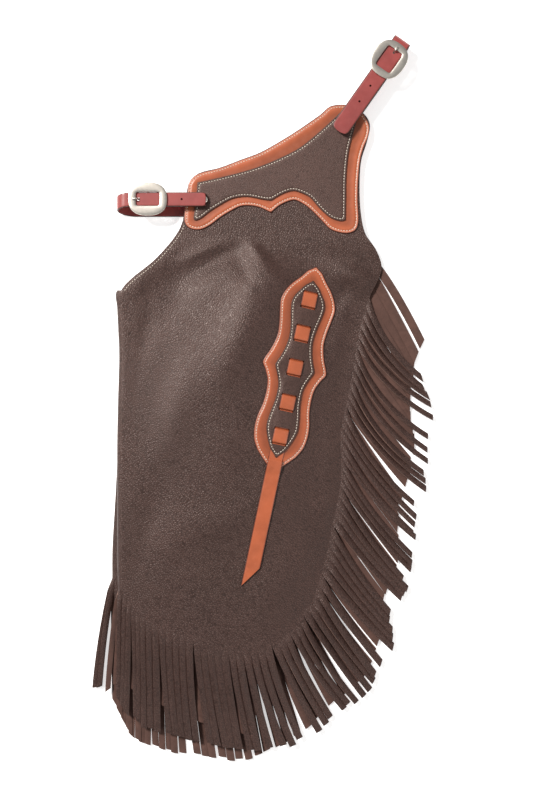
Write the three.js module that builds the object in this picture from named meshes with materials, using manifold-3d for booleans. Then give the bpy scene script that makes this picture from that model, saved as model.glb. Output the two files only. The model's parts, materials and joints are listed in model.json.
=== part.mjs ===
// A pair of short western chaps, folded in half and lying flat, near leg on top.
// Millimetres, +Z up. X runs from the soft fold to the fringed side, Y from the hem to the yoke.
import * as THREE from "three";
import Module from "manifold-3d";

const wasm = await Module();
wasm.setup();

// Driving dimensions: the leather
const LEG_WIDTH = 340; // fold to the fringe's root across the thigh
const LEG_LENGTH = 767; // top of the yoke to the lowest point of the hem
const LEG_LEATHER = 2.2;
const TRIM_LEATHER = 1.8;
const STRAP_LEATHER = 2;
const FRINGE_LENGTH = 150;
const FRINGE_BACKING = 6; // band that the strips grow from
const FLAP_WIDTH = 0.53; // share of the leg's width that the inner flap covers
const FLAP_TOP_FALL = 0.2; // shares of the leg's length that the flap's edges fall from the fold
const FLAP_HEM_FALL = 0.09;

// Clearances
const LAYER_GAP = 0.6; // between the big sheets
const TRIM_GAP = 0.4; // between plates, straps and hardware
const PATCH_GAP = 0.7; // between the curved panel and what is sewn on it
const ROOT_GAP = 0.8; // between the panel's edge and the fringe's backing

// Fold radii of the two legs
const NEAR_FOLD_RADIUS = 6;
const FAR_FOLD_RADIUS = 3;

// How far the far leg has slid against the near one at the hem, at its fold and at its side
const SLIP = { foldOut: -11, sideOut: 6, foldDown: -15, sideDown: 13 };

// Thigh ornament
const PATCH_LENGTH = 285;
const PATCH_TURN = 12; // degrees from straight down, toward the fold
const WEAVE_WIDTH = 19;
const SQUARE_LENGTH = 21;
const SLOT_LENGTH = 7;
const TAIL_LENGTH = 172;
const TAIL_SLANT = 30;

// Straps and buckles. Places along a strap are measured from its buckle's centre,
// toward the loop at the strap's outer end.
const STRAPS = [
  {
    name: "front", x: 0.126, y: 0.176, turn: 180, width: 19.4, drift: 11,
    freeEnd: -80.4, chapeEnd: -80, lowerEnd: -86, loopEnd: 43.4, loopReach: 12,
    holes: [-22, -47], frameLength: 50, frameWidth: 44, windowLength: 31,
  },
  {
    name: "back", x: 1.112, y: -0.077, turn: 54.8, width: 25.4, drift: 1,
    freeEnd: -121.5, chapeEnd: -116, lowerEnd: -121, loopEnd: 36, loopReach: 8,
    holes: [-18, -44.5, -71], frameLength: 53, frameWidth: 48, windowLength: 32,
  },
];
const FRAME_THICKNESS = 2.2;
const OVAL_POWER = 2.5; // 2 is an ellipse, more is fuller at the corners
const WINDOW_ROOM = 0.7; // from the strap's edge to the window's
const BAR_RADIUS = 1.5;
const TONGUE_RADIUS = 1.3;
const TONGUE_HOLE = { from: 0.5, to: 13, width: 5.4 };
const STRAP_HOLE = 3.6;
const STRAP_ROUND = 3.5; // how far the free end's corners are cut
const CHAPE_SPREAD = 12; // from the bar to where the short strap's two layers lie flat
const RIVET = { place: -78.6, radius: 4.6, height: 1.5 };
const RIVET_GAP = 0.3;

// Heights of the layers, from the surface that the pair lies on upwards.
// In the yoke the plates of both legs lie on each other; below it the sheets come down.
const strapFloor = STRAP_LEATHER / 2;
const farOverlayLow = STRAP_LEATHER + TRIM_GAP;
const farBorderLow = farOverlayLow + TRIM_LEATHER + TRIM_GAP;
const farYokeMid = farBorderLow + TRIM_LEATHER + TRIM_GAP + LEG_LEATHER / 2;
const nearYokeMid = farYokeMid + LEG_LEATHER + LAYER_GAP;
const nearBorderLow = nearYokeMid + LEG_LEATHER / 2 + TRIM_GAP;
const nearOverlayLow = nearBorderLow + TRIM_LEATHER + TRIM_GAP;
const chapeLowMid = nearOverlayLow + TRIM_LEATHER + TRIM_GAP + STRAP_LEATHER / 2;
const chapeTopMid = chapeLowMid + STRAP_LEATHER + TRIM_GAP;
const rivetLow = chapeTopMid + STRAP_LEATHER / 2 + RIVET_GAP;
const wrapRadius = BAR_RADIUS + TRIM_GAP + STRAP_LEATHER / 2;
const barHeight = (chapeLowMid + chapeTopMid) / 2;
const billetMid = Math.max(
  rivetLow + RIVET.height + RIVET_GAP,
  barHeight + wrapRadius + STRAP_LEATHER / 2 + TRIM_GAP,
) + STRAP_LEATHER / 2;
const frameLow = billetMid + STRAP_LEATHER / 2 + TRIM_GAP;
const farPanelMid = LEG_LEATHER / 2;
const farFlapMid = farPanelMid + 2 * FAR_FOLD_RADIUS;
const nearFlapMid = farFlapMid + LEG_LEATHER + LAYER_GAP;
const nearFoldMid = nearFlapMid + 2 * NEAR_FOLD_RADIUS;
const nearLowMid = farPanelMid + LEG_LEATHER + LAYER_GAP + 0.2;

// Stations down a leg: left and right ends of a line across the panel, how far it sags like
// the hem and how far it rises like the yoke's top edge.
// x is a share of the leg's width from the fold, y, sag and rise are shares of its length.
const LEG_ROWS = [
  { leftX: 0.289, leftY: 0.145, rightX: 1.003, rightY: 0.012, sag: 0, rise: 0.033 },
  { leftX: 0.283, leftY: 0.157, rightX: 1.029, rightY: 0.026, sag: 0, rise: 0.016 },
  { leftX: 0.277, leftY: 0.175, rightX: 1.038, rightY: 0.042, sag: 0, rise: 0.007 },
  { leftX: 0.272, leftY: 0.197, rightX: 1.025, rightY: 0.069, sag: 0, rise: 0 },
  { leftX: 0.265, leftY: 0.214, rightX: 1.002, rightY: 0.104, sag: 0, rise: 0 },
  { leftX: 0.249, leftY: 0.23, rightX: 0.996, rightY: 0.15, sag: 0, rise: 0 },
  { leftX: 0.21, leftY: 0.256, rightX: 1.001, rightY: 0.197, sag: 0, rise: 0 },
  { leftX: 0.148, leftY: 0.287, rightX: 1.019, rightY: 0.235, sag: 0, rise: 0 },
  { leftX: 0.074, leftY: 0.314, rightX: 1.064, rightY: 0.265, sag: 0, rise: 0 },
  { leftX: -0.001, leftY: 0.341, rightX: 1.087, rightY: 0.294, sag: 0, rise: 0 },
  { leftX: 0, leftY: 0.372, rightX: 1.075, rightY: 0.318, sag: 0, rise: 0 },
  { leftX: 0.004, leftY: 0.413, rightX: 1.038, rightY: 0.352, sag: 0, rise: 0 },
  { leftX: 0.008, leftY: 0.462, rightX: 0.996, rightY: 0.413, sag: 0, rise: 0 },
  { leftX: 0.004, leftY: 0.531, rightX: 0.959, rightY: 0.51, sag: 0, rise: 0 },
  { leftX: 0, leftY: 0.617, rightX: 0.92, rightY: 0.597, sag: 0, rise: 0 },
  { leftX: 0, leftY: 0.695, rightX: 0.918, rightY: 0.69, sag: 0.004, rise: 0 },
  { leftX: 0, leftY: 0.768, rightX: 0.885, rightY: 0.766, sag: 0.018, rise: 0 },
  { leftX: 0, leftY: 0.832, rightX: 0.852, rightY: 0.836, sag: 0.051, rise: 0 },
  { leftX: 0.004, leftY: 0.887, rightX: 0.799, rightY: 0.911, sag: 0.093, rise: 0 },
];
const CORNER_ROW = 9; // where the crotch curve meets the fold and the flap starts
const NEAR_FRINGE_ROW = 11; // where the near side fringe starts
const FAR_FRINGE_ROW = 9;

// Shapes of the hem and of the yoke's top edge across the leg, shares of their depths
const HEM_SHAPE = [
  { at: 0, depth: 0 }, { at: 0.1, depth: 0.45 }, { at: 0.21, depth: 0.64 }, { at: 0.34, depth: 0.8 },
  { at: 0.45, depth: 0.93 }, { at: 0.57, depth: 1 }, { at: 0.7, depth: 0.97 },
  { at: 0.81, depth: 0.8 }, { at: 0.9, depth: 0.5 }, { at: 1, depth: 0 },
];
const TOP_SHAPE = [
  { at: 0, depth: 0 }, { at: 0.053, depth: 0.36 }, { at: 0.183, depth: 0.18 },
  { at: 0.3, depth: 0.13 }, { at: 0.414, depth: 0.08 }, { at: 0.53, depth: 0.23 },
  { at: 0.645, depth: 0.46 }, { at: 0.76, depth: 0.76 }, { at: 0.824, depth: 1 },
  { at: 0.928, depth: 0.64 }, { at: 1, depth: 0 },
];

// Yoke outlines, shares of the leg's width and length. A corner splits the smooth curve.
const YOKE_BORDER = [
  { x: 0.286, y: 0.157 }, { x: 0.292, y: 0.142 }, { x: 0.327, y: 0.127 }, { x: 0.42, y: 0.116 },
  { x: 0.502, y: 0.102 }, { x: 0.585, y: 0.089 }, { x: 0.667, y: 0.068 }, { x: 0.749, y: 0.045 },
  { x: 0.832, y: 0.02 }, { x: 0.877, y: 0.004 }, { x: 0.951, y: 0.002 }, { x: 1.001, y: 0.013 },
  { x: 1.034, y: 0.037 }, { x: 1.031, y: 0.057 }, { x: 1.012, y: 0.079 }, { x: 0.999, y: 0.102 },
  { x: 0.99, y: 0.139 }, { x: 0.988, y: 0.175 }, { x: 0.99, y: 0.212 }, { x: 0.98, y: 0.229 },
  { x: 0.95, y: 0.235 }, { x: 0.914, y: 0.235 }, { x: 0.873, y: 0.228 }, { x: 0.842, y: 0.214 },
  { x: 0.791, y: 0.191 }, { x: 0.749, y: 0.179 }, { x: 0.719, y: 0.175 }, { x: 0.667, y: 0.184 },
  { x: 0.63, y: 0.198, corner: true }, { x: 0.585, y: 0.189 }, { x: 0.544, y: 0.185 },
  { x: 0.502, y: 0.187 }, { x: 0.461, y: 0.196 }, { x: 0.42, y: 0.207 }, { x: 0.379, y: 0.221 },
  { x: 0.338, y: 0.229 }, { x: 0.296, y: 0.227 }, { x: 0.274, y: 0.214 }, { x: 0.276, y: 0.193 },
  { x: 0.281, y: 0.172 },
];
const YOKE_OVERLAY = [
  { x: 0.327, y: 0.143, corner: true }, { x: 0.42, y: 0.134 }, { x: 0.502, y: 0.125 },
  { x: 0.585, y: 0.114 }, { x: 0.667, y: 0.099 }, { x: 0.749, y: 0.079 }, { x: 0.832, y: 0.05 },
  { x: 0.894, y: 0.025 }, { x: 0.918, y: 0.016 }, { x: 0.955, y: 0.015 },
  { x: 0.984, y: 0.026, corner: true }, { x: 0.976, y: 0.043 }, { x: 0.955, y: 0.075 },
  { x: 0.945, y: 0.102 }, { x: 0.939, y: 0.139 }, { x: 0.938, y: 0.175 },
  { x: 0.937, y: 0.212, corner: true }, { x: 0.914, y: 0.214 }, { x: 0.873, y: 0.207 },
  { x: 0.832, y: 0.191 }, { x: 0.791, y: 0.171 }, { x: 0.749, y: 0.162 }, { x: 0.719, y: 0.158 },
  { x: 0.677, y: 0.164 }, { x: 0.63, y: 0.176, corner: true }, { x: 0.595, y: 0.174 },
  { x: 0.544, y: 0.17 }, { x: 0.502, y: 0.17 }, { x: 0.461, y: 0.174 }, { x: 0.42, y: 0.184 },
  { x: 0.379, y: 0.196 }, { x: 0.338, y: 0.21 }, { x: 0.312, y: 0.21 }, { x: 0.319, y: 0.184 },
];

// Thigh ornament's half widths down its length, both shares of its length
const PATCH_BORDER = [
  { along: 0, half: 0.01 }, { along: 0.025, half: 0.036 }, { along: 0.064, half: 0.065 },
  { along: 0.102, half: 0.098 }, { along: 0.143, half: 0.123 }, { along: 0.19, half: 0.137 },
  { along: 0.245, half: 0.131 }, { along: 0.3, half: 0.122 }, { along: 0.358, half: 0.117 },
  { along: 0.4, half: 0.123 }, { along: 0.447, half: 0.137 }, { along: 0.49, half: 0.155 },
  { along: 0.512, half: 0.16 }, { along: 0.545, half: 0.14 }, { along: 0.59, half: 0.12 },
  { along: 0.645, half: 0.114 }, { along: 0.71, half: 0.118 }, { along: 0.772, half: 0.131 },
  { along: 0.83, half: 0.134 }, { along: 0.887, half: 0.124 }, { along: 0.935, half: 0.098 },
  { along: 0.968, half: 0.068 }, { along: 0.99, half: 0.046 }, { along: 1, half: 0.036 },
];
const PATCH_OVERLAY = [
  { along: 0.071, half: 0.006 }, { along: 0.1, half: 0.034 }, { along: 0.125, half: 0.052 },
  { along: 0.155, half: 0.072 }, { along: 0.19, half: 0.083 }, { along: 0.24, half: 0.078 },
  { along: 0.3, half: 0.066 }, { along: 0.36, half: 0.06 }, { along: 0.41, half: 0.065 },
  { along: 0.46, half: 0.079 }, { along: 0.51, half: 0.098 }, { along: 0.565, half: 0.075 },
  { along: 0.61, half: 0.062 }, { along: 0.68, half: 0.063 }, { along: 0.75, half: 0.074 },
  { along: 0.81, half: 0.078 }, { along: 0.86, half: 0.064 }, { along: 0.915, half: 0.038 },
  { along: 0.955, half: 0.008 },
];
const PATCH_SQUARES = [0.168, 0.336, 0.507, 0.682, 0.849]; // centres down the ornament

// Strips from the top of the side to the left end of the hem.
// at is the share of the fringe's root, length a share of the fringe's length,
// turn is in degrees from straight down, toward the side.
const FRINGE_ROWS = [
  { at: 0, length: 0.88, turn: 32 }, { at: 0.065, length: 0.99, turn: 41 },
  { at: 0.123, length: 1.1, turn: 37 }, { at: 0.208, length: 1.14, turn: 39.5 },
  { at: 0.27, length: 1.17, turn: 38.5 }, { at: 0.357, length: 1.13, turn: 36.5 },
  { at: 0.445, length: 1, turn: 39 }, { at: 0.522, length: 1.07, turn: 39 },
  { at: 0.584, length: 1.05, turn: 34 }, { at: 0.645, length: 0.95, turn: 29 },
  { at: 0.698, length: 0.93, turn: 20.5 }, { at: 0.752, length: 0.96, turn: 10 },
  { at: 0.816, length: 0.97, turn: 5 }, { at: 0.903, length: 0.95, turn: 1.7 },
  { at: 0.967, length: 0.99, turn: -2.7 }, { at: 1, length: 0.93, turn: -4.6 },
];
const FLAP_FRINGE_ROWS = [
  { at: 0, length: 0.95, turn: -5 }, { at: 0.5, length: 0.97, turn: 0 },
  { at: 1, length: 0.93, turn: 3 },
];

// Soft swells and hollows of the near panel. Places and spreads are shares of the leg's
// width and length, turn is in degrees from the X axis, height is in millimetres.
const SWELLS = [
  { x: 0.46, y: 0.54, along: 0.27, across: 0.1, turn: 80, height: 5 },
  { x: 0.358, y: 0.449, along: 0.16, across: 0.055, turn: 55, height: 6 },
  { x: 0.358, y: 0.258, along: 0.085, across: 0.026, turn: 18, height: 5 },
  { x: 0.548, y: 0.28, along: 0.05, across: 0.025, turn: -56, height: 4 },
  { x: 0.255, y: 0.307, along: 0.06, across: 0.032, turn: 40, height: -5 },
  { x: 0.667, y: 0.262, along: 0.055, across: 0.03, turn: -20, height: -4 },
  { x: 0.955, y: 0.312, along: 0.055, across: 0.03, turn: -20, height: 6 },
];

// Mesh fineness
const PANEL_COLUMNS = 14;
const FOLD_STEPS = 4;
const FLAP_COLUMNS = 6;
const SIDE_LOCKS = 22;
const HEM_LOCKS = 16;
const FLAP_LOCKS = 11;
const STATION_SPACE = 3.5; // least distance of an ornament station from a slot's end

// Finishes
const finish = (color, roughness, metalness = 0) =>
  new THREE.MeshStandardMaterial({ color, roughness, metalness });
const DARK_LEATHER = finish(0x43342c, 0.55);
const SUEDE = finish(0x5c4038, 0.95);
const TAN_LEATHER = finish(0xb5653a, 0.5);
const LATIGO = finish(0x7a3430, 0.45);
const NICKEL = finish(0xb9b5ac, 0.3, 1);

const { lerp, smoothstep, degToRad } = THREE.MathUtils;
const place = (x, y) => [x * LEG_WIDTH, -y * LEG_LENGTH];

// Value of a named column at t, along a smooth curve through a table's rows
function sample(rows, t, at, column) {
  const last = rows.length - 1;
  let k = 0;
  while (k < last - 1 && t > at(k + 1)) k += 1;
  const row = (index) => rows[Math.min(Math.max(index, 0), last)][column];
  const u = Math.min(Math.max((t - at(k)) / (at(k + 1) - at(k)), 0), 1);
  const before = (row(k + 1) - row(k - 1)) / 2;
  const after = (row(k + 2) - row(k)) / 2;
  const square = u * u;
  const cube = square * u;
  return (2 * cube - 3 * square + 1) * row(k) + (cube - 2 * square + u) * before
    + (3 * square - 2 * cube) * row(k + 1) + (cube - square) * after;
}

// A sheet of leather from its middle surface. place(i, j) gives a point and the direction
// of the outer face there. keep(i, j) says whether a cell is leather or a hole.
function sheet(rows, columns, thickness, pointAt, { keep = () => true, flip = false } = {}) {
  const outer = [];
  const inner = [];
  const index = (i, j) => i * columns + j;
  for (let i = 0; i < rows; i += 1) {
    for (let j = 0; j < columns; j += 1) {
      const found = pointAt(i, j);
      const point = found.point;
      const normal = found.normal;
      outer.push(point.map((value, axis) => value + normal[axis] * thickness / 2));
      inner.push(point.map((value, axis) => value - normal[axis] * thickness / 2));
    }
  }
  const positions = [];
  const triangle = (...corners) => corners.forEach((corner) => positions.push(...corner));
  const edges = new Map();
  for (let i = 0; i + 1 < rows; i += 1) {
    for (let j = 0; j + 1 < columns; j += 1) {
      if (!keep(i, j)) continue;
      let loop = [index(i, j), index(i + 1, j), index(i + 1, j + 1), index(i, j + 1)];
      if (flip) loop = loop.reverse();
      const [a, b, c, d] = loop;
      triangle(outer[a], outer[b], outer[c]);
      triangle(outer[a], outer[c], outer[d]);
      triangle(inner[c], inner[b], inner[a]);
      triangle(inner[d], inner[c], inner[a]);
      loop.forEach((from, n) => edges.set(`${from},${loop[(n + 1) % 4]}`, [from, loop[(n + 1) % 4]]));
    }
  }
  for (const [from, to] of edges.values()) {
    if (edges.has(`${to},${from}`)) continue;
    triangle(outer[from], inner[from], inner[to]);
    triangle(outer[from], inner[to], outer[to]);
  }
  const geometry = new THREE.BufferGeometry();
  geometry.setAttribute("position", new THREE.Float32BufferAttribute(positions, 3));
  return geometry;
}

// A closed mesh as a manifold, and back
function toSolid(geometry) {
  const source = geometry.index ? geometry.toNonIndexed() : geometry;
  const values = source.getAttribute("position").array;
  const seen = new Map();
  const vertices = [];
  const triangles = [];
  for (let n = 0; n < values.length; n += 3) {
    const key = [0, 1, 2].map((axis) => values[n + axis].toFixed(4)).join(",");
    if (!seen.has(key)) {
      seen.set(key, seen.size);
      vertices.push(values[n], values[n + 1], values[n + 2]);
    }
    triangles.push(seen.get(key));
  }
  const mesh = new wasm.Mesh({
    numProp: 3,
    vertProperties: new Float32Array(vertices),
    triVerts: new Uint32Array(triangles),
  });
  mesh.merge();
  return new wasm.Manifold(mesh);
}

function toGeometry(solid) {
  const mesh = solid.getMesh();
  const geometry = new THREE.BufferGeometry();
  const positions = [];
  for (const vertex of mesh.triVerts) {
    for (let axis = 0; axis < 3; axis += 1) positions.push(mesh.vertProperties[vertex * mesh.numProp + axis]);
  }
  geometry.setAttribute("position", new THREE.Float32BufferAttribute(positions, 3));
  return geometry;
}

const group = new THREE.Group();
function addPiece(name, geometry, material, parent = group) {
  const mesh = new THREE.Mesh(geometry, material);
  mesh.name = name;
  parent.add(mesh);
  return mesh;
}

// How much of the way from the yoke's level to the body's level a place has come
function belowYoke(y) {
  return smoothstep(-y / LEG_LENGTH, 0.245, 0.345);
}

// 1 over the inner flaps, 0 where only the far panel lies underneath
function overFlaps(x) {
  return 1 - smoothstep(x / LEG_WIDTH, FLAP_WIDTH + 0.06, 0.98);
}

function swell(x, y) {
  let height = 0;
  for (const row of SWELLS) {
    const [centreX, centreY] = place(row.x, row.y);
    const turn = degToRad(row.turn);
    const along = ((x - centreX) * Math.cos(turn) + (y - centreY) * Math.sin(turn)) / (row.along * LEG_LENGTH);
    const across = ((y - centreY) * Math.cos(turn) - (x - centreX) * Math.sin(turn)) / (row.across * LEG_LENGTH);
    height += row.height * Math.exp(-along * along - across * across);
  }
  return height;
}

function nearHeight(x, y) {
  const fromFold = smoothstep(x / LEG_WIDTH, 0, 0.25);
  const body = lerp(nearLowMid, nearFoldMid, overFlaps(x)) + swell(x, y) * fromFold;
  return lerp(nearYokeMid, body, belowYoke(y));
}

function farHeight(x, y) {
  return lerp(farYokeMid, farPanelMid, belowYoke(y));
}

// The far leg spreads toward its hem. It slides down at the side and up at the fold.
function farSlip(x, y) {
  const share = smoothstep(-y / LEG_LENGTH, 0.35, 0.85);
  const across = x / LEG_WIDTH;
  const down = lerp(SLIP.foldDown, SLIP.sideDown, smoothstep(across, 0, 0.3));
  return [x + lerp(SLIP.foldOut, SLIP.sideOut, across) * share, y - down * share];
}

const LEGS = {
  near: {
    side: 1, radius: NEAR_FOLD_RADIUS, flapMid: nearFlapMid, height: nearHeight, perStation: 1.5,
    slip: (x, y) => [x, y],
  },
  far: {
    side: -1, radius: FAR_FOLD_RADIUS, flapMid: farFlapMid, height: farHeight, perStation: 1,
    slip: farSlip,
  },
};
const STATIONS = LEG_ROWS.length - 1;

// Row r of a leg's panel grid stands at this station of the table
function stationOf(leg, row) {
  return Math.min(row / leg.perStation, STATIONS);
}

function panelPlan(leg, station, t) {
  const value = (column) => sample(LEG_ROWS, station, (k) => k, column);
  const [leftX, leftY] = place(value("leftX"), value("leftY"));
  const [rightX, rightY] = place(value("rightX"), value("rightY"));
  const inset = leg.radius * smoothstep(station, CORNER_ROW - 1, CORNER_ROW);
  const shape = (rows) => sample(rows, t, (k) => rows[k].at, "depth") * LEG_LENGTH;
  const bend = value("rise") * shape(TOP_SHAPE) - value("sag") * shape(HEM_SHAPE);
  return leg.slip(lerp(leftX + inset, rightX, t), lerp(leftY, rightY, t) + bend);
}

function panelPoint(leg, row, t) {
  const [x, y] = panelPlan(leg, stationOf(leg, row), t);
  return [x, y, leg.height(x, y)];
}

// The flap's top edge falls away from the corner, its hem follows the panel's
function flapPlan(leg, row, share) {
  const station = stationOf(leg, row);
  const [foldX, foldY] = panelPlan(leg, station, 0);
  const [, cornerY] = panelPlan(leg, CORNER_ROW, 0);
  const [, hemY] = panelPlan(leg, STATIONS, 0);
  const down = (cornerY - foldY) / (cornerY - hemY);
  const topFall = FLAP_TOP_FALL * LEG_LENGTH * share ** 0.8;
  const hemFall = FLAP_HEM_FALL * LEG_LENGTH * Math.sin(share * Math.PI / 2);
  const fall = lerp(topFall, hemFall, down);
  return [foldX + share * FLAP_WIDTH * LEG_WIDTH, foldY - fall];
}

function legGeometry(leg) {
  const rows = Math.ceil(STATIONS * leg.perStation) + 1;
  const cornerRow = Math.ceil(CORNER_ROW * leg.perStation);
  const firstPanel = FLAP_COLUMNS + FOLD_STEPS;
  const columns = firstPanel + PANEL_COLUMNS + 1;
  const pointAt = (i, j) => {
    if (j >= firstPanel) {
      return {
        point: panelPoint(leg, i, (j - firstPanel) / PANEL_COLUMNS),
        normal: [0, 0, leg.side],
      };
    }
    const start = panelPoint(leg, i, 0);
    if (j > FLAP_COLUMNS) {
      const turn = Math.PI * (firstPanel - j) / FOLD_STEPS;
      const rise = (start[2] - leg.flapMid) / 2;
      return {
        point: [
          start[0] - leg.radius * Math.sin(turn), start[1],
          (start[2] + leg.flapMid) / 2 + rise * Math.cos(turn),
        ],
        normal: [-Math.sin(turn), 0, leg.side * Math.cos(turn)],
      };
    }
    const [x, y] = flapPlan(leg, i, (FLAP_COLUMNS - j) / FLAP_COLUMNS);
    return { point: [x, y, leg.flapMid], normal: [0, 0, -leg.side] };
  };
  return sheet(rows, columns, LEG_LEATHER, pointAt, {
    keep: (i, j) => j >= firstPanel || i >= cornerRow,
    flip: leg.side < 0,
  });
}

// A place along an edge by its share of the edge's length, with the direction out of the leather
function edgeLength(edge) {
  return edge.slice(1).reduce((sum, point, n) =>
    sum + Math.hypot(point[0] - edge[n][0], point[1] - edge[n][1]), 0);
}

function alongEdge(edge, share) {
  const wanted = share * edgeLength(edge);
  let passed = 0;
  let k = 0;
  let step = Math.hypot(edge[1][0] - edge[0][0], edge[1][1] - edge[0][1]);
  while (k < edge.length - 2 && wanted > passed + step) {
    passed += step;
    k += 1;
    step = Math.hypot(edge[k + 1][0] - edge[k][0], edge[k + 1][1] - edge[k][1]);
  }
  const u = (wanted - passed) / step;
  const point = edge[k].map((value, axis) => lerp(value, edge[k + 1][axis], u));
  return { point, out: [(edge[k][1] - edge[k + 1][1]) / step, (edge[k + 1][0] - edge[k][0]) / step] };
}

// Strips in locks, fused to a backing band along the leather's edge. The edge comes in
// runs that meet at corners, so that a corner always falls between two locks.
function fringeGeometry({ runs, table, side, rest, outSign = 1, downs = [0, 0, 0.5, 1] }) {
  const total = runs.reduce((sum, run) => sum + edgeLength(run.edge), 0);
  const locks = runs.flatMap((run, n) => {
    const before = runs.slice(0, n).reduce((sum, each) => sum + edgeLength(each.edge), 0);
    return Array.from({ length: run.locks }, (_, number) => ({ ...run, number, before }));
  });
  const pointAt = (i, j) => {
    const lock = locks[Math.floor(j / 2)];
    const onRight = j % 2;
    const notch = 0.06 + 0.05 * downs[i];
    const local = (lock.number + (onRight ? 1 - notch : notch)) / lock.locks;
    const share = (lock.before + local * edgeLength(lock.edge)) / total;
    const root = alongEdge(lock.edge, local);
    const at = (k) => table[k].at;
    const length = sample(table, share, at, "length") * FRINGE_LENGTH;
    const turn = degToRad(sample(table, share, at, "turn"));
    const reach = i === 0 ? 0 : lerp(FRINGE_BACKING, length * (onRight ? 1 : 0.94), downs[i]);
    const x = root.point[0] + outSign * root.out[0] * ROOT_GAP + Math.sin(turn) * reach;
    const y = root.point[1] + outSign * root.out[1] * ROOT_GAP - Math.cos(turn) * reach;
    const z = lerp(root.point[2], rest(x, y), smoothstep(downs[i], 0, 1));
    return { point: [x, y, z], normal: [0, 0, side] };
  };
  return sheet(downs.length, 2 * locks.length, LEG_LEATHER, pointAt, {
    keep: (i, j) => i === 0 || j % 2 === 0,
    flip: side * outSign > 0,
  });
}

function sideAndHem(leg, firstStation) {
  const rows = Math.ceil(STATIONS * leg.perStation);
  const side = [];
  for (let i = Math.ceil(firstStation * leg.perStation); i <= rows; i += 1) side.push(panelPoint(leg, i, 1));
  const hem = [];
  for (let j = PANEL_COLUMNS; j >= 0; j -= 1) hem.push(panelPoint(leg, rows, j / PANEL_COLUMNS));
  return [{ edge: side, locks: SIDE_LOCKS }, { edge: hem, locks: HEM_LOCKS }];
}

function flapHem(leg) {
  const rows = Math.ceil(STATIONS * leg.perStation);
  const edge = [];
  for (let j = 0; j <= FLAP_COLUMNS; j += 1) edge.push([...flapPlan(leg, rows, j / FLAP_COLUMNS), leg.flapMid]);
  return [{ edge, locks: FLAP_LOCKS }];
}

// The two legs and their fringes
const restOnFar = (x) => lerp(nearLowMid, nearFlapMid + 1, overFlaps(x));
addPiece("near_leg", legGeometry(LEGS.near), DARK_LEATHER);
addPiece("far_leg", legGeometry(LEGS.far), DARK_LEATHER);
addPiece("near_fringe", fringeGeometry({
  runs: sideAndHem(LEGS.near, NEAR_FRINGE_ROW), table: FRINGE_ROWS, side: 1,
  rest: restOnFar, downs: [0, 0, 0.36, 0.7, 1],
}), DARK_LEATHER);
addPiece("far_fringe", fringeGeometry({
  runs: sideAndHem(LEGS.far, FAR_FRINGE_ROW), table: FRINGE_ROWS, side: -1,
  rest: () => farPanelMid,
}), SUEDE);
addPiece("near_flap_fringe", fringeGeometry({
  runs: flapHem(LEGS.near), table: FLAP_FRINGE_ROWS, side: -1,
  rest: () => nearFlapMid - 2, outSign: -1,
}), SUEDE);
addPiece("far_flap_fringe", fringeGeometry({
  runs: flapHem(LEGS.far), table: FLAP_FRINGE_ROWS, side: 1,
  rest: () => farFlapMid - 3.2, outSign: -1,
}), DARK_LEATHER);

// A flat plate with a smooth outline through a table's points, split at its corners
function plateGeometry(table, thickness) {
  const points = table.map((row) => new THREE.Vector2(...place(row.x, row.y)));
  const count = points.length;
  const first = Math.max(table.findIndex((row) => row.corner), 0);
  const outline = [];
  let run = [points[first]];
  for (let n = 1; n <= count; n += 1) {
    const at = (first + n) % count;
    run.push(points[at]);
    if (table[at].corner || n === count) {
      const curve = new THREE.SplineCurve(run);
      outline.push(...curve.getPoints(Math.round((run.length - 1) * 1.6)).slice(0, -1));
      run = [points[at]];
    }
  }
  const geometry = new THREE.ExtrudeGeometry(new THREE.Shape(outline), { depth: thickness, bevelEnabled: false });
  return geometry;
}

for (const [leg, borderLow, overlayLow] of [
  ["near", nearBorderLow, nearOverlayLow],
  ["far", farBorderLow, farOverlayLow],
]) {
  addPiece(`${leg}_yoke_border`, plateGeometry(YOKE_BORDER, TRIM_LEATHER), TAN_LEATHER).position.z = borderLow;
  addPiece(`${leg}_yoke_overlay`, plateGeometry(YOKE_OVERLAY, TRIM_LEATHER), DARK_LEATHER).position.z = overlayLow;
}

// The thigh ornament: its own axis, and the height of its pieces over the panel
const patchTurn = degToRad(PATCH_TURN);
const PATCH_TOP = place(0.823, 0.298);
const PATCH_SHIFT = 0.008 * PATCH_LENGTH; // the ornament's middle lies this far toward the fold
function patchPlan(along, across) {
  return [
    PATCH_TOP[0] - along * Math.sin(patchTurn) + (across - PATCH_SHIFT) * Math.cos(patchTurn),
    PATCH_TOP[1] - along * Math.cos(patchTurn) - (across - PATCH_SHIFT) * Math.sin(patchTurn),
  ];
}

const trimStep = TRIM_LEATHER + LAYER_GAP;
const borderRest = LEG_LEATHER / 2 + PATCH_GAP + TRIM_LEATHER / 2;
const channel = WEAVE_WIDTH / 2 + 0.8; // half width of the slots
const slotReach = SQUARE_LENGTH / 2 + SLOT_LENGTH;
const squarePlaces = PATCH_SQUARES.map((share) => share * PATCH_LENGTH);

// 1 where the strap is woven over the plates, 0 where it runs under them
function overlap(along) {
  let over = 0;
  for (const centre of squarePlaces) {
    over = Math.max(over, 1 - smoothstep(Math.abs(along - centre), SQUARE_LENGTH / 2, slotReach));
  }
  return over;
}
const slotStations = squarePlaces.flatMap((centre) => [
  centre - slotReach, centre - SQUARE_LENGTH / 2, centre + SQUARE_LENGTH / 2, centre + slotReach,
]);

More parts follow.
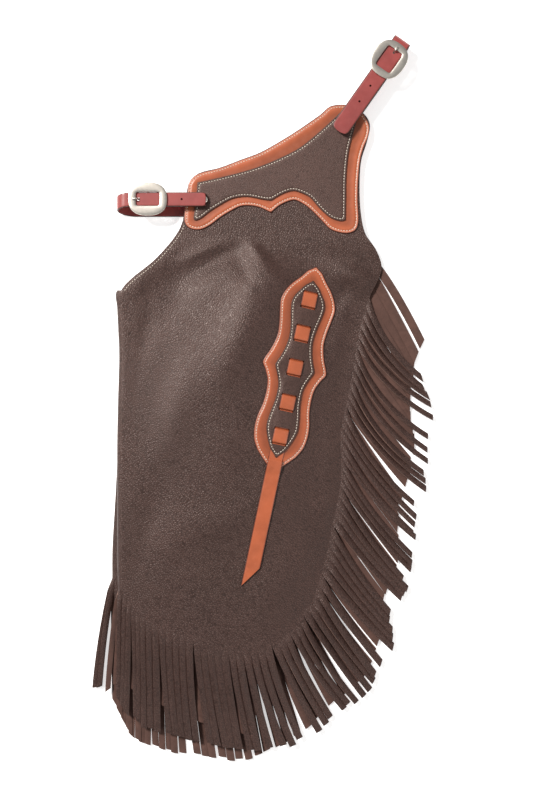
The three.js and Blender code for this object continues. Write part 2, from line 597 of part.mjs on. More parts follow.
function patchPlate(table, layer, lanes) {
  const firstAlong = table[0].along * PATCH_LENGTH;
  const lastAlong = table.at(-1).along * PATCH_LENGTH;
  const own = table.map((row) => row.along * PATCH_LENGTH);
  const inside = slotStations.filter((along) => along > firstAlong && along < lastAlong);
  const spaced = own.filter((along) => inside.every((slot) => Math.abs(slot - along) > STATION_SPACE));
  const stations = [...spaced, ...inside].sort((a, b) => a - b);
  const at = (k) => own[k];
  const pointAt = (i, j) => {
    const along = stations[i];
    const half = sample(table, along, at, "half") * PATCH_LENGTH;
    const fromEdge = Math.min(j, 2 * lanes - 1 - j);
    const toChannel = lanes - 1 - fromEdge;
    const reach = Math.min(toChannel === 0 ? channel : channel + 6, half * (toChannel === 0 ? 0.9 : 0.95));
    const across = Math.sign(j - lanes + 0.5) * (fromEdge === 0 ? half : reach);
    const narrow = 1 - smoothstep(half, channel + 5, channel + 9);
    const raised = toChannel === 0 ? 1 : narrow;
    const lift = (1 - overlap(along)) * raised * trimStep;
    const [x, y] = patchPlan(along, across);
    return { point: [x, y, nearHeight(x, y) + borderRest + layer * trimStep + lift], normal: [0, 0, 1] };
  };
  const isSlot = (i) => squarePlaces.some((centre) => {
    const middle = Math.abs((stations[i] + stations[i + 1]) / 2 - centre);
    return middle > SQUARE_LENGTH / 2 && middle < slotReach;
  });
  return sheet(stations.length, 2 * lanes, TRIM_LEATHER, pointAt, {
    keep: (i, j) => j !== lanes - 1 || !isSlot(i),
  });
}
addPiece("patch_border", patchPlate(PATCH_BORDER, 0, 3), TAN_LEATHER);
addPiece("patch_overlay", patchPlate(PATCH_OVERLAY, 1, 2), DARK_LEATHER);

function weaveGeometry() {
  const start = squarePlaces[0] - slotReach - 5;
  const end = PATCH_LENGTH + TAIL_LENGTH;
  const stations = [start];
  for (const centre of squarePlaces) {
    for (const offset of [-1, -0.82, -0.66, 0.66, 0.82, 1]) {
      const edge = Math.abs(offset) === 1 ? slotReach : lerp(SQUARE_LENGTH / 2, slotReach, (Math.abs(offset) - 0.66) / 0.34);
      stations.push(centre + Math.sign(offset) * edge);
    }
  }
  const lastSlot = stations.at(-1);
  const tailSteps = 10;
  for (let n = 1; n <= tailSteps; n += 1) stations.push(lerp(lastSlot, end, n / tailSteps));
  const pointAt = (i, j) => {
    const across = (j - 1) * WEAVE_WIDTH / 2;
    const slant = i === stations.length - 1 ? (1 + (j - 1)) / 2 * TAIL_SLANT : 0;
    const along = stations[i] - slant;
    const [x, y] = patchPlan(along, across);
    const height = borderRest + overlap(along) * 2 * trimStep;
    return { point: [x, y, nearHeight(x, y) + height], normal: [0, 0, 1] };
  };
  return sheet(stations.length, 3, TRIM_LEATHER, pointAt);
}
addPiece("patch_strap", weaveGeometry(), TAN_LEATHER);

// A strap that follows a path in the plane of its length and height. The path's points are
// [along, height]; the strap's outer face is on the left of the path's run.
// drift moves the strap sideways along the path, holes are cut at their places on the upper run.
function strapGeometry({ path, stations, width, side, drift = () => 0, holes = [], round = 0 }) {
  const curve = new THREE.CurvePath();
  path.slice(1).forEach((point, n) => curve.add(new THREE.LineCurve3(
    new THREE.Vector3(path[n][0], 0, path[n][1]), new THREE.Vector3(point[0], 0, point[1]),
  )));
  const total = curve.getLength();
  const places = [...stations].sort((a, b) => a - b);
  const pointAt = (i, j) => {
    const share = Math.min(places[i] / total, 1);
    const point = curve.getPointAt(share);
    const before = curve.getPointAt(Math.max(share - 1.5 / total, 0));
    const after = curve.getPointAt(Math.min(share + 1.5 / total, 1));
    const run = after.sub(before).normalize();
    const hole = holes.find((each) => places[i] >= each.from - 0.01 && places[i] <= each.to + 0.01);
    const inner = (hole ? hole.width : STRAP_HOLE) / 2;
    const rounding = round > 0 && i === 0 ? round : 0;
    const lane = [-width / 2 + rounding, -inner, inner, width / 2 - rounding][j];
    return {
      point: [point.x, lane + drift(share), point.z],
      normal: [-run.z * side, 0, run.x * side],
    };
  };
  const isHole = (i) => holes.some((each) =>
    places[i] >= each.from - 0.01 && places[i + 1] <= each.to + 0.01);
  return sheet(places.length, 4, STRAP_LEATHER, pointAt, {
    keep: (i, j) => j !== 1 || !isHole(i),
    flip: side < 0,
  });
}

function billetGeometry(strap) {
  const { freeEnd, loopEnd, loopReach, lowerEnd, width } = strap;
  const loopRise = (billetMid - strapFloor) / 2;
  const loopStart = loopEnd - loopReach;
  const path = [[freeEnd, billetMid], [loopStart, billetMid]];
  const arcSteps = 8;
  for (let n = 1; n <= arcSteps; n += 1) {
    const turn = Math.PI * n / arcSteps;
    path.push([loopStart + loopReach * Math.sin(turn), strapFloor + loopRise * (1 + Math.cos(turn))]);
  }
  path.push([lowerEnd, strapFloor]);
  const upper = loopStart - freeEnd;
  const arc = Math.PI * Math.sqrt((loopReach ** 2 + loopRise ** 2) / 2);
  const total = upper + arc + loopStart - lowerEnd;
  const holes = strap.holes.map((at) => ({
    from: at - STRAP_HOLE / 2 - freeEnd, to: at + STRAP_HOLE / 2 - freeEnd, width: STRAP_HOLE,
  }));
  holes.push({ from: TONGUE_HOLE.from - freeEnd, to: TONGUE_HOLE.to - freeEnd, width: TONGUE_HOLE.width });
  const stations = [0, STRAP_ROUND, ...holes.flatMap((hole) => [hole.from, hole.to]), upper];
  for (let n = 1; n <= arcSteps; n += 1) stations.push(upper + arc * n / arcSteps);
  stations.push(upper + arc + 4, total);
  return strapGeometry({
    path, stations, width, side: 1, holes, round: STRAP_ROUND,
    drift: (share) => strap.drift * smoothstep(share * total, upper - 10, upper + arc + 6),
  });
}

function chapeGeometry(strap) {
  const path = [[strap.chapeEnd, chapeLowMid], [-CHAPE_SPREAD, chapeLowMid]];
  const wrapSteps = 8;
  for (let n = 0; n <= wrapSteps; n += 1) {
    const turn = Math.PI * n / wrapSteps;
    path.push([wrapRadius * Math.sin(turn), barHeight - wrapRadius * Math.cos(turn)]);
  }
  path.push([-CHAPE_SPREAD, chapeTopMid], [strap.chapeEnd, chapeTopMid]);
  const leg = -CHAPE_SPREAD - strap.chapeEnd;
  const toBar = Math.hypot(CHAPE_SPREAD, barHeight - wrapRadius - chapeLowMid);
  const wrap = Math.PI * wrapRadius;
  const start = leg + toBar;
  const stations = [0, leg, start];
  for (let n = 1; n <= wrapSteps; n += 1) stations.push(start + wrap * n / wrapSteps);
  stations.push(start + wrap + 3, start + wrap + toBar, 2 * start + wrap);
  const holes = [{ from: start + wrap * 0.25, to: start + wrap + 3, width: TONGUE_HOLE.width + 1 }];
  return strapGeometry({ path, stations, width: strap.width - 1, side: -1, holes });
}

// An oval plate with a window, and the bar that two posts hold under it
function buckleGeometry(strap) {
  const { frameLength, frameWidth, windowLength, width } = strap;
  const outline = [];
  const steps = 32;
  const fullness = 2 / OVAL_POWER;
  for (let n = 0; n < steps; n += 1) {
    const turn = 2 * Math.PI * n / steps;
    const reach = (value, size) => Math.sign(value) * Math.abs(value) ** fullness * size / 2;
    outline.push(new THREE.Vector2(reach(Math.cos(turn), frameLength), reach(Math.sin(turn), frameWidth)));
  }
  const shape = new THREE.Shape(outline);
  const halfWindow = windowLength / 2;
  const halfOpen = width / 2 + WINDOW_ROOM;
  shape.holes.push(new THREE.Path([
    new THREE.Vector2(-halfWindow, -halfOpen), new THREE.Vector2(-halfWindow, halfOpen),
    new THREE.Vector2(halfWindow, halfOpen), new THREE.Vector2(halfWindow, -halfOpen),
  ]));
  const plate = new THREE.ExtrudeGeometry(shape, { depth: FRAME_THICKNESS, bevelEnabled: false });
  plate.translate(0, 0, frameLow);
  let solid = toSolid(plate);
  const postPlace = width / 2 + TRIM_GAP + BAR_RADIUS + 0.6;
  const postHeight = frameLow + FRAME_THICKNESS / 2 - barHeight;
  for (const sign of [-1, 1]) {
    const post = new THREE.BoxGeometry(2 * BAR_RADIUS + 1, 2 * BAR_RADIUS, postHeight + BAR_RADIUS);
    post.translate(0, sign * postPlace, barHeight - BAR_RADIUS + (postHeight + BAR_RADIUS) / 2);
    solid = solid.add(toSolid(post));
  }
  const bar = new THREE.CylinderGeometry(BAR_RADIUS, BAR_RADIUS, 2 * postPlace, 12);
  bar.translate(0, 0, barHeight);
  return toGeometry(solid.add(toSolid(bar)));
}

// A rod from the bar up through the strap's hole and onto the frame's outer end
function tongueGeometry(strap) {
  const restHeight = frameLow + FRAME_THICKNESS + 0.3 + TONGUE_RADIUS;
  const windowEnd = strap.windowLength / 2;
  const points = [
    new THREE.Vector3(0, 0, barHeight + BAR_RADIUS + 0.3 + TONGUE_RADIUS),
    new THREE.Vector3(3, 0, barHeight + BAR_RADIUS + 0.6 + TONGUE_RADIUS),
    new THREE.Vector3(9, 0, billetMid),
    new THREE.Vector3(windowEnd - 2, 0, restHeight),
    new THREE.Vector3(windowEnd + 5, 0, restHeight),
  ];
  const section = [];
  const sides = 6;
  for (let n = 0; n < sides; n += 1) {
    const turn = 2 * Math.PI * n / sides;
    section.push(new THREE.Vector2(TONGUE_RADIUS * Math.cos(turn), TONGUE_RADIUS * Math.sin(turn)));
  }
  return new THREE.ExtrudeGeometry(new THREE.Shape(section), {
    steps: 8, bevelEnabled: false, extrudePath: new THREE.CatmullRomCurve3(points),
  });
}

for (const strap of STRAPS) {
  const set = new THREE.Group();
  set.position.set(...place(strap.x, strap.y), 0);
  set.rotation.z = degToRad(strap.turn);
  group.add(set);
  addPiece(`${strap.name}_billet`, billetGeometry(strap), LATIGO, set);
  addPiece(`${strap.name}_chape`, chapeGeometry(strap), LATIGO, set);
  addPiece(`${strap.name}_buckle`, buckleGeometry(strap), NICKEL, set);
  addPiece(`${strap.name}_tongue`, tongueGeometry(strap), NICKEL, set);
  if (strap.name === "front") {
    const dome = [
      new THREE.Vector2(0, 0), new THREE.Vector2(RIVET.radius, 0),
      new THREE.Vector2(RIVET.radius, RIVET.height * 0.4),
      new THREE.Vector2(RIVET.radius * 0.6, RIVET.height * 0.85), new THREE.Vector2(0, RIVET.height),
    ];
    const head = new THREE.LatheGeometry(dome, 16);
    head.rotateX(Math.PI / 2);
    addPiece("front_rivet", head, NICKEL, set).position.set(RIVET.place, 0, rivetLow);
  }
}

// The origin is at the middle of the footprint, on the surface that the pair lies on
group.updateMatrixWorld(true);
const box = new THREE.Box3().setFromObject(group, true);
group.position.set(-(box.min.x + box.max.x) / 2, -(box.min.y + box.max.y) / 2, -box.min.z);
group.updateMatrixWorld(true);

export default group;
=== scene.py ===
"""A pair of short western chaps in dark leather, folded in half and lying flat.

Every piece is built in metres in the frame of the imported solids. Places in plan are given on a
drawing grid whose step is GRID, counted from the left and from the top.
"""

import json
import math

import bpy
import numpy as np
from bpy.props import FloatProperty, FloatVectorProperty, IntProperty
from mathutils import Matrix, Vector
from mathutils.geometry import delaunay_2d_cdt

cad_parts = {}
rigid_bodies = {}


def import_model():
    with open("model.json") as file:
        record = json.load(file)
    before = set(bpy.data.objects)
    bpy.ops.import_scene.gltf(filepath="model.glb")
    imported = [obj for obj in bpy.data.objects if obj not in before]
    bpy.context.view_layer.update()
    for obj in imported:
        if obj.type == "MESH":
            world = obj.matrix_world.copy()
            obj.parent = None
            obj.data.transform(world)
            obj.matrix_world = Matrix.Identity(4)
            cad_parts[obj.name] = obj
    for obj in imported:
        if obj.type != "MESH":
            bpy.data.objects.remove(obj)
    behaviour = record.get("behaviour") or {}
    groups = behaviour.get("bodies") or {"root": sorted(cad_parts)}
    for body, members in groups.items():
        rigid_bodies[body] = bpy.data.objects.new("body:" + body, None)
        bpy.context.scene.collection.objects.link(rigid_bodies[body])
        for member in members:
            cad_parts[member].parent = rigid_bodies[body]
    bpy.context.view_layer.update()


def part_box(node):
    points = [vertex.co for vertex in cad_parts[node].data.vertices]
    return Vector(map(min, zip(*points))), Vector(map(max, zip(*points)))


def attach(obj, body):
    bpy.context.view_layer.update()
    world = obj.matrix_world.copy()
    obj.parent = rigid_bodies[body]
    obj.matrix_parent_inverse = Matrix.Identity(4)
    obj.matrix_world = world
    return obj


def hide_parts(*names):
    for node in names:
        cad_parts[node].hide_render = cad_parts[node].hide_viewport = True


bl_info = {
    "name": "Western chaps",
    "version": (1, 0, 0),
    "blender": (4, 5, 0),
    "location": "3D View > Sidebar > Chaps",
    "description": "Builds a folded pair of fringed western chaps",
    "category": "Object",
}

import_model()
MM = 0.001


def srgb(red, green, blue):
    """A colour given from 0 to 255 as it is seen, in the linear values that Blender works in."""
    return tuple(
        value / 12.92 if value <= 0.04045 else ((value + 0.055) / 1.055) ** 2.4
        for value in (red / 255, green / 255, blue / 255)
    )


# The drawing grid, placed by the rivet's middle
GRID = 1.4 * MM
RIVET_SPOT = (204.74, 200.42)
RIVET_LOW, RIVET_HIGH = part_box("front_rivet")
RIVET_MIDDLE = (RIVET_LOW + RIVET_HIGH) / 2

# Driving dimensions
LEG_WIDTH = 340 * MM
LEG_LENGTH = 767 * MM
FLAP_WIDTH = 0.53
PLATE_GAP = 0.4 * MM
NEAR_YOKE_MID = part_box("near_yoke_border")[0].z - PLATE_GAP - 1.1 * MM
FAR_YOKE_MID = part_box("far_yoke_border")[1].z + PLATE_GAP + 1.1 * MM
FAR_PANEL_MID = 1.1 * MM
FAR_FLAP_MID = 7.1 * MM
NEAR_FLAP_MID = 9.9 * MM
NEAR_FOLD_MID = 21.9 * MM
NEAR_LOW_MID = 4.1 * MM


def spot(across, down):
    """A point of the drawing grid, in the frame's plan."""
    return np.stack(
        [
            RIVET_MIDDLE.x + (np.asarray(across, float) - RIVET_SPOT[0]) * GRID,
            RIVET_MIDDLE.y - (np.asarray(down, float) - RIVET_SPOT[1]) * GRID,
        ],
        axis=-1,
    )


FOLD_X, TOP_Y = spot(118, 104)

# Stations down a leg: the left and right end of a line across it, how far the line sags like
# the hem and how far it rises like the yoke's top edge
LEG_ROWS = [
    (188.3, 183.5, 361.5, 110.5, 0, 17.9), (186.8, 190, 368, 118, 0, 9),
    (185.3, 200, 370.2, 127, 0, 4), (184, 212, 367, 142, 0, 0), (182.3, 221, 361.3, 161, 0, 0),
    (178.5, 230, 359.8, 186, 0, 0), (169, 244, 361, 212, 0, 0), (154, 261, 365.5, 233, 0, 0),
    (136, 276, 376.3, 249.3, 0, 0), (117.8, 291, 382, 265, 0, 0), (118, 308, 379, 278, 0, 0),
    (119, 330, 370, 297, 0, 0), (120, 357, 360, 330, 0, 0), (119, 395, 351, 383.5, 0, 0),
    (118, 442, 341.5, 431, 0, 0), (118, 485, 341, 482, 2, 0), (118, 525, 333, 523.5, 10, 0),
    (118, 560, 325, 562, 28, 0), (119, 590, 312, 603, 51, 0),
]
HEM_SHAPE = [
    (0, 0), (0.1, 0.45), (0.21, 0.64), (0.34, 0.8), (0.45, 0.93), (0.57, 1), (0.7, 0.97),
    (0.81, 0.8), (0.9, 0.5), (1, 0),
]
TOP_SHAPE = [
    (0, 0), (0.053, 0.36), (0.183, 0.18), (0.3, 0.13), (0.414, 0.08), (0.53, 0.23),
    (0.645, 0.46), (0.76, 0.76), (0.824, 1), (0.928, 0.64), (1, 0),
]
CORNER_STATION = 9
NEAR_FRINGE_STATION = 11
FAR_FRINGE_STATION = 9
LAST_STATION = len(LEG_ROWS) - 1

# Swells and hollows of the near panel: middle on the grid, reach along and across, turn in
# degrees and height in millimetres
SWELLS = [
    (229.7, 400, 148, 55, 80, 5), (228, 352, 88, 30, 60, 6), (205, 245.3, 47, 14, 18, 4),
    (251, 257.4, 27, 14, -56, 4), (180, 272, 33, 17.5, 40, -5), (280, 247.5, 30, 16.5, -20, -4),
    (350, 275, 30, 16.5, -20, 6),
]
# Finer creases of the near panel, given in the same way
CREASES = [
    (210, 247, 32, 6.5, 26, 3.4), (214, 262, 28, 9, 28, -3.0), (255, 250, 22, 6, -53, 4.2),
    (243, 268, 20, 7, -60, -2.0), (272, 276, 24, 9, -30, 1.8), (244, 330, 50, 22, 66, 4.4),
    (176, 300, 50, 16, 50, -2.4), (252, 286, 20, 8, 80, 1.6), (300, 256, 26, 8, -12, -2.0),
    (356, 276, 20, 8, -25, 3.4), (340, 296, 30, 8, 50, -1.8), (152, 266, 46, 12, 45, 3.6),
    (176, 410, 70, 16, 74, 2.6), (146, 330, 60, 9, 82, -1.2), (340, 330, 46, 9, 74, 1.4),
    (232, 430, 60, 24, 70, 2.2), (330, 470, 50, 10, 84, 1.6), (220, 520, 70, 22, 20, 2.0),
    (325, 508, 12, 10, 40, 1.3), (150, 520, 60, 14, 76, -2.0), (296, 560, 50, 14, 52, 1.4),
    (240, 228, 40, 7, 6, 1.6), (316, 236, 34, 7, -18, 2.2),
]

YOKE_BORDER = [
    (187.5, 190), (189, 182), (197.5, 173.8), (220, 167.5), (240, 160), (260, 152.5),
    (280, 141.3), (300, 128.8), (320, 115), (331, 106), (349, 105), (361, 111), (369, 124),
    (368.8, 135), (363.8, 147.5), (360.5, 160), (358.5, 180), (358, 200), (358.8, 220),
    (356, 229.5), (348.8, 233), (340, 232.5), (330, 228.8), (322.5, 221.3), (310, 208.8),
    (300, 202), (292.5, 200), (280, 205), (271, 212.5), (260, 207.5), (250, 205.5),
    (240, 206.3), (230, 211.3), (220, 217.5), (210, 225), (200, 229.5), (190, 228.3),
    (184.5, 222), (184.5, 210), (186, 198),
]
YOKE_BORDER_CORNERS = [28]
YOKE_OVERLAY = [
    (197.5, 182.5), (220, 177.5), (240, 172.5), (260, 166.3), (280, 158), (300, 147.5),
    (320, 131.3), (335, 117.5), (341, 112.5), (350, 112), (357, 118), (355, 127.5),
    (350, 145), (347.5, 160), (346, 180), (345.8, 200), (345.5, 220), (340, 221),
    (330, 217.5), (320, 208.8), (310, 197.5), (300, 192.5), (292.5, 190.8), (282.5, 193.8),
    (271, 200.5), (262.5, 199.5), (250, 197), (240, 197), (230, 199.5), (220, 205),
    (210, 211.3), (200, 218.8), (193.8, 219.3), (195.5, 205),
]
YOKE_OVERLAY_CORNERS = [0, 10, 16, 24]

# The thigh ornament: half widths down its length, shares of its length
ORNAMENT_LENGTH = 285 * MM
ORNAMENT_TURN = math.radians(12)
ORNAMENT_TOP = (FOLD_X + 0.823 * LEG_WIDTH, TOP_Y - 0.298 * LEG_LENGTH)
ORNAMENT_SHIFT = 0.008 * ORNAMENT_LENGTH
ORNAMENT_BORDER = [
    (0, 0.004), (0.025, 0.036), (0.064, 0.065), (0.102, 0.098), (0.143, 0.123), (0.19, 0.137),
    (0.245, 0.131), (0.3, 0.122), (0.358, 0.117), (0.4, 0.123), (0.447, 0.137), (0.49, 0.155),
    (0.512, 0.16), (0.545, 0.14), (0.59, 0.12), (0.645, 0.114), (0.71, 0.118), (0.772, 0.131),
    (0.83, 0.134), (0.887, 0.124), (0.935, 0.098), (0.968, 0.068), (0.99, 0.046), (1, 0.036),
]
ORNAMENT_OVERLAY = [
    (0.071, 0.003), (0.1, 0.034), (0.125, 0.052), (0.155, 0.072), (0.19, 0.083), (0.24, 0.078),
    (0.3, 0.066), (0.36, 0.06), (0.41, 0.065), (0.46, 0.079), (0.51, 0.098), (0.565, 0.075),
    (0.61, 0.062), (0.68, 0.063), (0.75, 0.074), (0.81, 0.078), (0.86, 0.064), (0.915, 0.038),
    (0.955, 0.004),
]
SQUARES = [0.168, 0.336, 0.507, 0.682, 0.849]
ORNAMENT_CUSP = 0.512
WEAVE_WIDTH = 20.6 * MM
SQUARE_LENGTH = 16 * MM
SLOT_LENGTH = 4.2 * MM
TAIL_START = 0.966 * ORNAMENT_LENGTH
TAIL_LENGTH = 172 * MM
TAIL_SLANT = 30 * MM
ORNAMENT_GAP = 0.7 * MM

# Fringes: place along the root, length as a share of the usual one, turn from straight down
# toward the side, how much the strip curls on its way, how far it stands up on its edge, all
# in degrees, and how loosely it hangs
NEAR_FRINGE = [
    (0, 0.88, 32, 36, 34, 0.5), (0.065, 0.99, 41, 42, 40, 0.6), (0.123, 1.1, 37, 40, 40, 0.7),
    (0.208, 1.12, 39.5, 30, 36, 1), (0.27, 1.12, 38.5, 20, 30, 1.2), (0.357, 1.06, 36.5, 16, 30, 1.2),
    (0.445, 0.96, 38, 14, 30, 1.2), (0.522, 0.98, 38.5, 12, 32, 1.2), (0.584, 0.98, 34, 12, 34, 1.2),
    (0.645, 0.92, 28, 12, 30, 1.1), (0.698, 0.94, 20, 10, 22, 0.8), (0.752, 0.96, 10, 8, 16, 0.6),
    (0.816, 0.98, 5, 6, 14, 0.5), (0.903, 1.02, 1.7, 3, 16, 0.5), (0.967, 1.07, -1.2, -1, 18, 0.5),
    (1, 1.03, -1.5, 0, 20, 0.4),
]
FAR_FRINGE = [
    (0, 0.79, 31, -9, 0, 0.1), (0.0094, 0.79, 30.5, -9, 0, 0.1), (0.028, 0.8, 28, -2, 4, 0.1),
    (0.06, 0.84, 29.5, 2, 2, 0.3), (0.123, 0.92, 33, 8, 3, 0.6),
    (0.208, 0.95, 37, 12, 4, 0.8), (0.27, 0.94, 36, 10, 4, 0.9), (0.357, 0.9, 35.5, 8, 4, 0.9),
    (0.445, 0.82, 37, 8, 4, 0.9), (0.522, 0.82, 36, 8, 4, 0.9), (0.584, 0.8, 31, 8, 4, 0.8),
    (0.645, 0.76, 26, 6, 4, 0.8), (0.698, 0.84, 18, 4, 3, 0.8), (0.752, 0.98, 9, 2, 0, 0.7),
    (0.816, 1.03, 5, 2, 0, 0.6), (0.903, 1.18, 1.7, 0, 0, 0.6), (0.96, 1.28, 1, 0, 0, 0.4),
    (1, 1.18, 0.5, 0, 0, 0.3),
]
NEAR_FLAP_FRINGE = [
    (0, 0.98, -8.5, 8, 26, 0.2), (0.06, 0.9, -5, 4, 14, 0.2), (0.11, 0.88, 0, 0, 4, 0.3),
    (1, 0.9, 3, 0, 0, 0.4),
]
FAR_FLAP_FRINGE = [
    (0, 1.04, -10.5, 11, 30, 0.2), (0.08, 1.02, -7.5, 8, 22, 0.2), (0.125, 0.94, 0, 0, 6, 0.3),
    (1, 0.93, 3, 0, 0, 0.4),
]

# Straps: places along a strap count from its buckle's middle toward its outer loop
STRAPS = {
    "front": {
        "middle": (148.6, 200.42), "turn": math.pi, "width": 19.4 * MM, "drift": 11 * MM,
        "free_end": -80.4 * MM, "chape_end": -80 * MM, "lower_end": -86 * MM,
        "loop_end": 43.4 * MM, "loop_reach": 12 * MM, "end_round": 5 * MM,
        "holes": (-22 * MM, -47 * MM), "frame": (54 * MM, 46 * MM), "window": 33 * MM,
    },
    "back": {
        "middle": (388.06, 61.8), "turn": math.radians(54.8), "width": 25.4 * MM,
        "drift": 1 * MM, "free_end": -121.5 * MM, "chape_end": -116 * MM,
        "lower_end": -121 * MM, "loop_end": 36 * MM, "loop_reach": 8 * MM,
        "end_round": 9 * MM, "holes": (-18 * MM, -44.5 * MM, -71 * MM),
        "frame": (53 * MM, 48 * MM), "window": 32 * MM,
    },
}
BAR_HEIGHT = 18.8 * MM
BAR_RADIUS = 1.5 * MM
CHAPE_LOW = 17.6 * MM
CHAPE_TOP = 20.0 * MM
BILLET_MID = 24.1 * MM
FRAME_LOW = 25.5 * MM
FRAME_THICKNESS = 2.2 * MM
TONGUE_RADIUS = 1.3 * MM


class ChapsSizes(bpy.types.PropertyGroup):
    """Sizes that can be changed before the pieces are made."""

    leather: FloatProperty(
        name="Leg leather", description="Thickness of the legs and of their fringe",
        default=2.2 * MM, min=1 * MM, max=3 * MM, subtype="DISTANCE", unit="LENGTH",
    )
    trim: FloatProperty(
        name="Trim leather", description="Thickness of the plates sewn on the legs",
        default=1.8 * MM, min=1 * MM, max=3 * MM, subtype="DISTANCE", unit="LENGTH",
    )
    strap: FloatProperty(
        name="Strap leather", description="Thickness of the straps",
        default=2.0 * MM, min=1 * MM, max=3 * MM, subtype="DISTANCE", unit="LENGTH",
    )
    fringe: FloatProperty(
        name="Fringe", description="Usual length of a strip of the fringe",
        default=150 * MM, min=50 * MM, max=250 * MM, subtype="DISTANCE", unit="LENGTH",
    )
    stitch: FloatProperty(
        name="Stitch", description="From one stitch to the next",
        default=4.0 * MM, min=2 * MM, max=6 * MM, subtype="DISTANCE", unit="LENGTH",
    )
    thread: FloatProperty(
        name="Thread", description="Thickness of the thread",
        default=1.0 * MM, min=0.3 * MM, max=1.5 * MM, subtype="DISTANCE", unit="LENGTH",
    )
    side_strips: IntProperty(
        name="Side strips", description="Strips down the side of a leg", default=31, min=12, max=48,
    )
    hem_strips: IntProperty(
        name="Hem strips", description="Strips along the hem of a leg", default=31, min=12, max=48,
    )
    flap_strips: IntProperty(
        name="Flap strips", description="Strips along the hem of an inner flap",
        default=19, min=8, max=30,
    )


def colour(label, description, value):
    """A colour property."""
    return FloatVectorProperty(
        name=label, description=description, default=value, size=3, min=0, max=1, subtype="COLOR",
    )


class ChapsColours(bpy.types.PropertyGroup):
    """Colours of the leathers, the thread and the metal."""

    grain: colour("Dark leather", "Grain side of the legs", srgb(65, 46, 41))
    flesh: colour("Suede", "Flesh side of the legs", srgb(80, 57, 50))
    tan: colour("Tan leather", "Borders and the woven strap", srgb(160, 82, 50))
    latigo: colour("Strap leather", "The straps", srgb(136, 57, 54))
    nickel: colour("Metal", "Buckles, tongues and rivet", srgb(202, 196, 187))
    thread: colour("Thread", "The stitching", srgb(222, 212, 196))


def lerp(start, end, share):
    """The value at a share of the way from start to end."""
    return start + (end - start) * share


def smoothstep(value, low, high):
    """0 below low, 1 above high, and a soft rise between."""
    share = np.clip((np.asarray(value, float) - low) / (high - low), 0, 1)
    return share * share * (3 - 2 * share)


def follow(rows, places, wanted):
    """Rows read between the rows of a table, on a smooth curve through them."""
    rows, places = np.asarray(rows, float), np.asarray(places, float)
    wanted = np.asarray(wanted, float)
    first = np.clip(np.searchsorted(places, wanted, side="right") - 1, 0, len(places) - 2)
    share = np.clip((wanted - places[first]) / (places[first + 1] - places[first]), 0, 1)[..., None]
    last = len(rows) - 1
    here, there = rows[first], rows[first + 1]
    start = (there - rows[np.maximum(first - 1, 0)]) / 2
    end = (rows[np.minimum(first + 2, last)] - here) / 2
    square, cube = share**2, share**3
    return (
        (2 * cube - 3 * square + 1) * here + (cube - 2 * square + share) * start
        + (3 * square - 2 * cube) * there + (cube - square) * end
    )


def even_places(points, count):
    """Places, counted in points, that split a line of points into equal lengths."""
    steps = np.linalg.norm(np.diff(points, axis=0), axis=1)
    passed = np.concatenate([[0], np.cumsum(steps)])
    return np.interp(np.linspace(0, passed[-1], count + 1), passed, np.arange(len(points)))


def resampled(points, step, closed=False):
    """A line of points at an even step."""
    points = np.asarray(points, float)
    if closed:
        points = np.vstack([points, points[:1]])
    steps = np.linalg.norm(np.diff(points, axis=0), axis=1)
    passed = np.concatenate([[0], np.cumsum(steps)])
    count = max(int(round(passed[-1] / step)), 3)
    wanted = np.linspace(0, passed[-1], count + 1)
    found = np.stack([np.interp(wanted, passed, points[:, axis]) for axis in range(2)], axis=-1)
    return found[:-1] if closed else found


def select_only(obj):
    """The object becomes the only selected and the active one."""
    for other in bpy.context.scene.objects:
        other.select_set(False)
    obj.select_set(True)
    bpy.context.view_layer.objects.active = obj


def modify(obj, kind, **settings):
    """Adds a modifier and applies it."""
    select_only(obj)
    modifier = obj.modifiers.new(kind.title(), kind)
    for name, value in settings.items():
        setattr(modifier, name, value)
    bpy.ops.object.modifier_apply(modifier=modifier.name)


def smooth_shaded(obj, degrees):
    """Soft shading with crisp edges past an angle."""
    select_only(obj)
    bpy.ops.object.shade_smooth_by_angle(angle=math.radians(degrees))


def mesh_piece(name, points, faces):
    """An object from points and faces."""
    mesh = bpy.data.meshes.new(name)
    mesh.from_pydata([tuple(p) for p in points], [], [tuple(f) for f in faces])
    mesh.update()
    obj = bpy.data.objects.new(name, mesh)
    bpy.context.scene.collection.objects.link(obj)
    return obj


def sheet_piece(name, points, faces, upward):
    """An open sheet from points and four-sided faces. upward says which faces should look up."""
    points = np.asarray(points, float)
    faces = np.asarray(faces, int)
    probe = faces[upward]
    one, two, four = points[probe[:, 0]], points[probe[:, 1]], points[probe[:, 3]]
    if np.cross(two - one, four - one)[:, 2].sum() < 0:
        faces = faces[:, ::-1]
    return mesh_piece(name, points, faces)


def grid_faces(rows, columns):
    """The four-sided faces of a grid of points, row after row."""
    return [
        (a, a + columns, a + columns + 1, a + 1)
        for row in range(rows - 1) for a in range(row * columns, row * columns + columns - 1)
    ]


def shape_points(obj, places):
    """Moves each point of a primitive to its place."""
    for vertex, place in zip(obj.data.vertices, places):
        vertex.co = place


def point_outwards(obj):
    """Turns all faces of a closed piece outwards."""
    select_only(obj)
    bpy.ops.object.mode_set(mode="EDIT")
    bpy.ops.mesh.select_all(action="SELECT")
    bpy.ops.mesh.normals_make_consistent(inside=False)
    bpy.ops.object.mode_set(mode="OBJECT")


def plan_area(grid):
    """Area inside the outer line of a grid of points, seen from above."""
    line = np.concatenate([grid[0, :-1], grid[:-1, -1], grid[-1, :0:-1], grid[:0:-1, 0]])
    x, y = line[:, 0], line[:, 1]
    return abs(np.dot(x, np.roll(y, -1)) - np.dot(y, np.roll(x, -1))) / 2


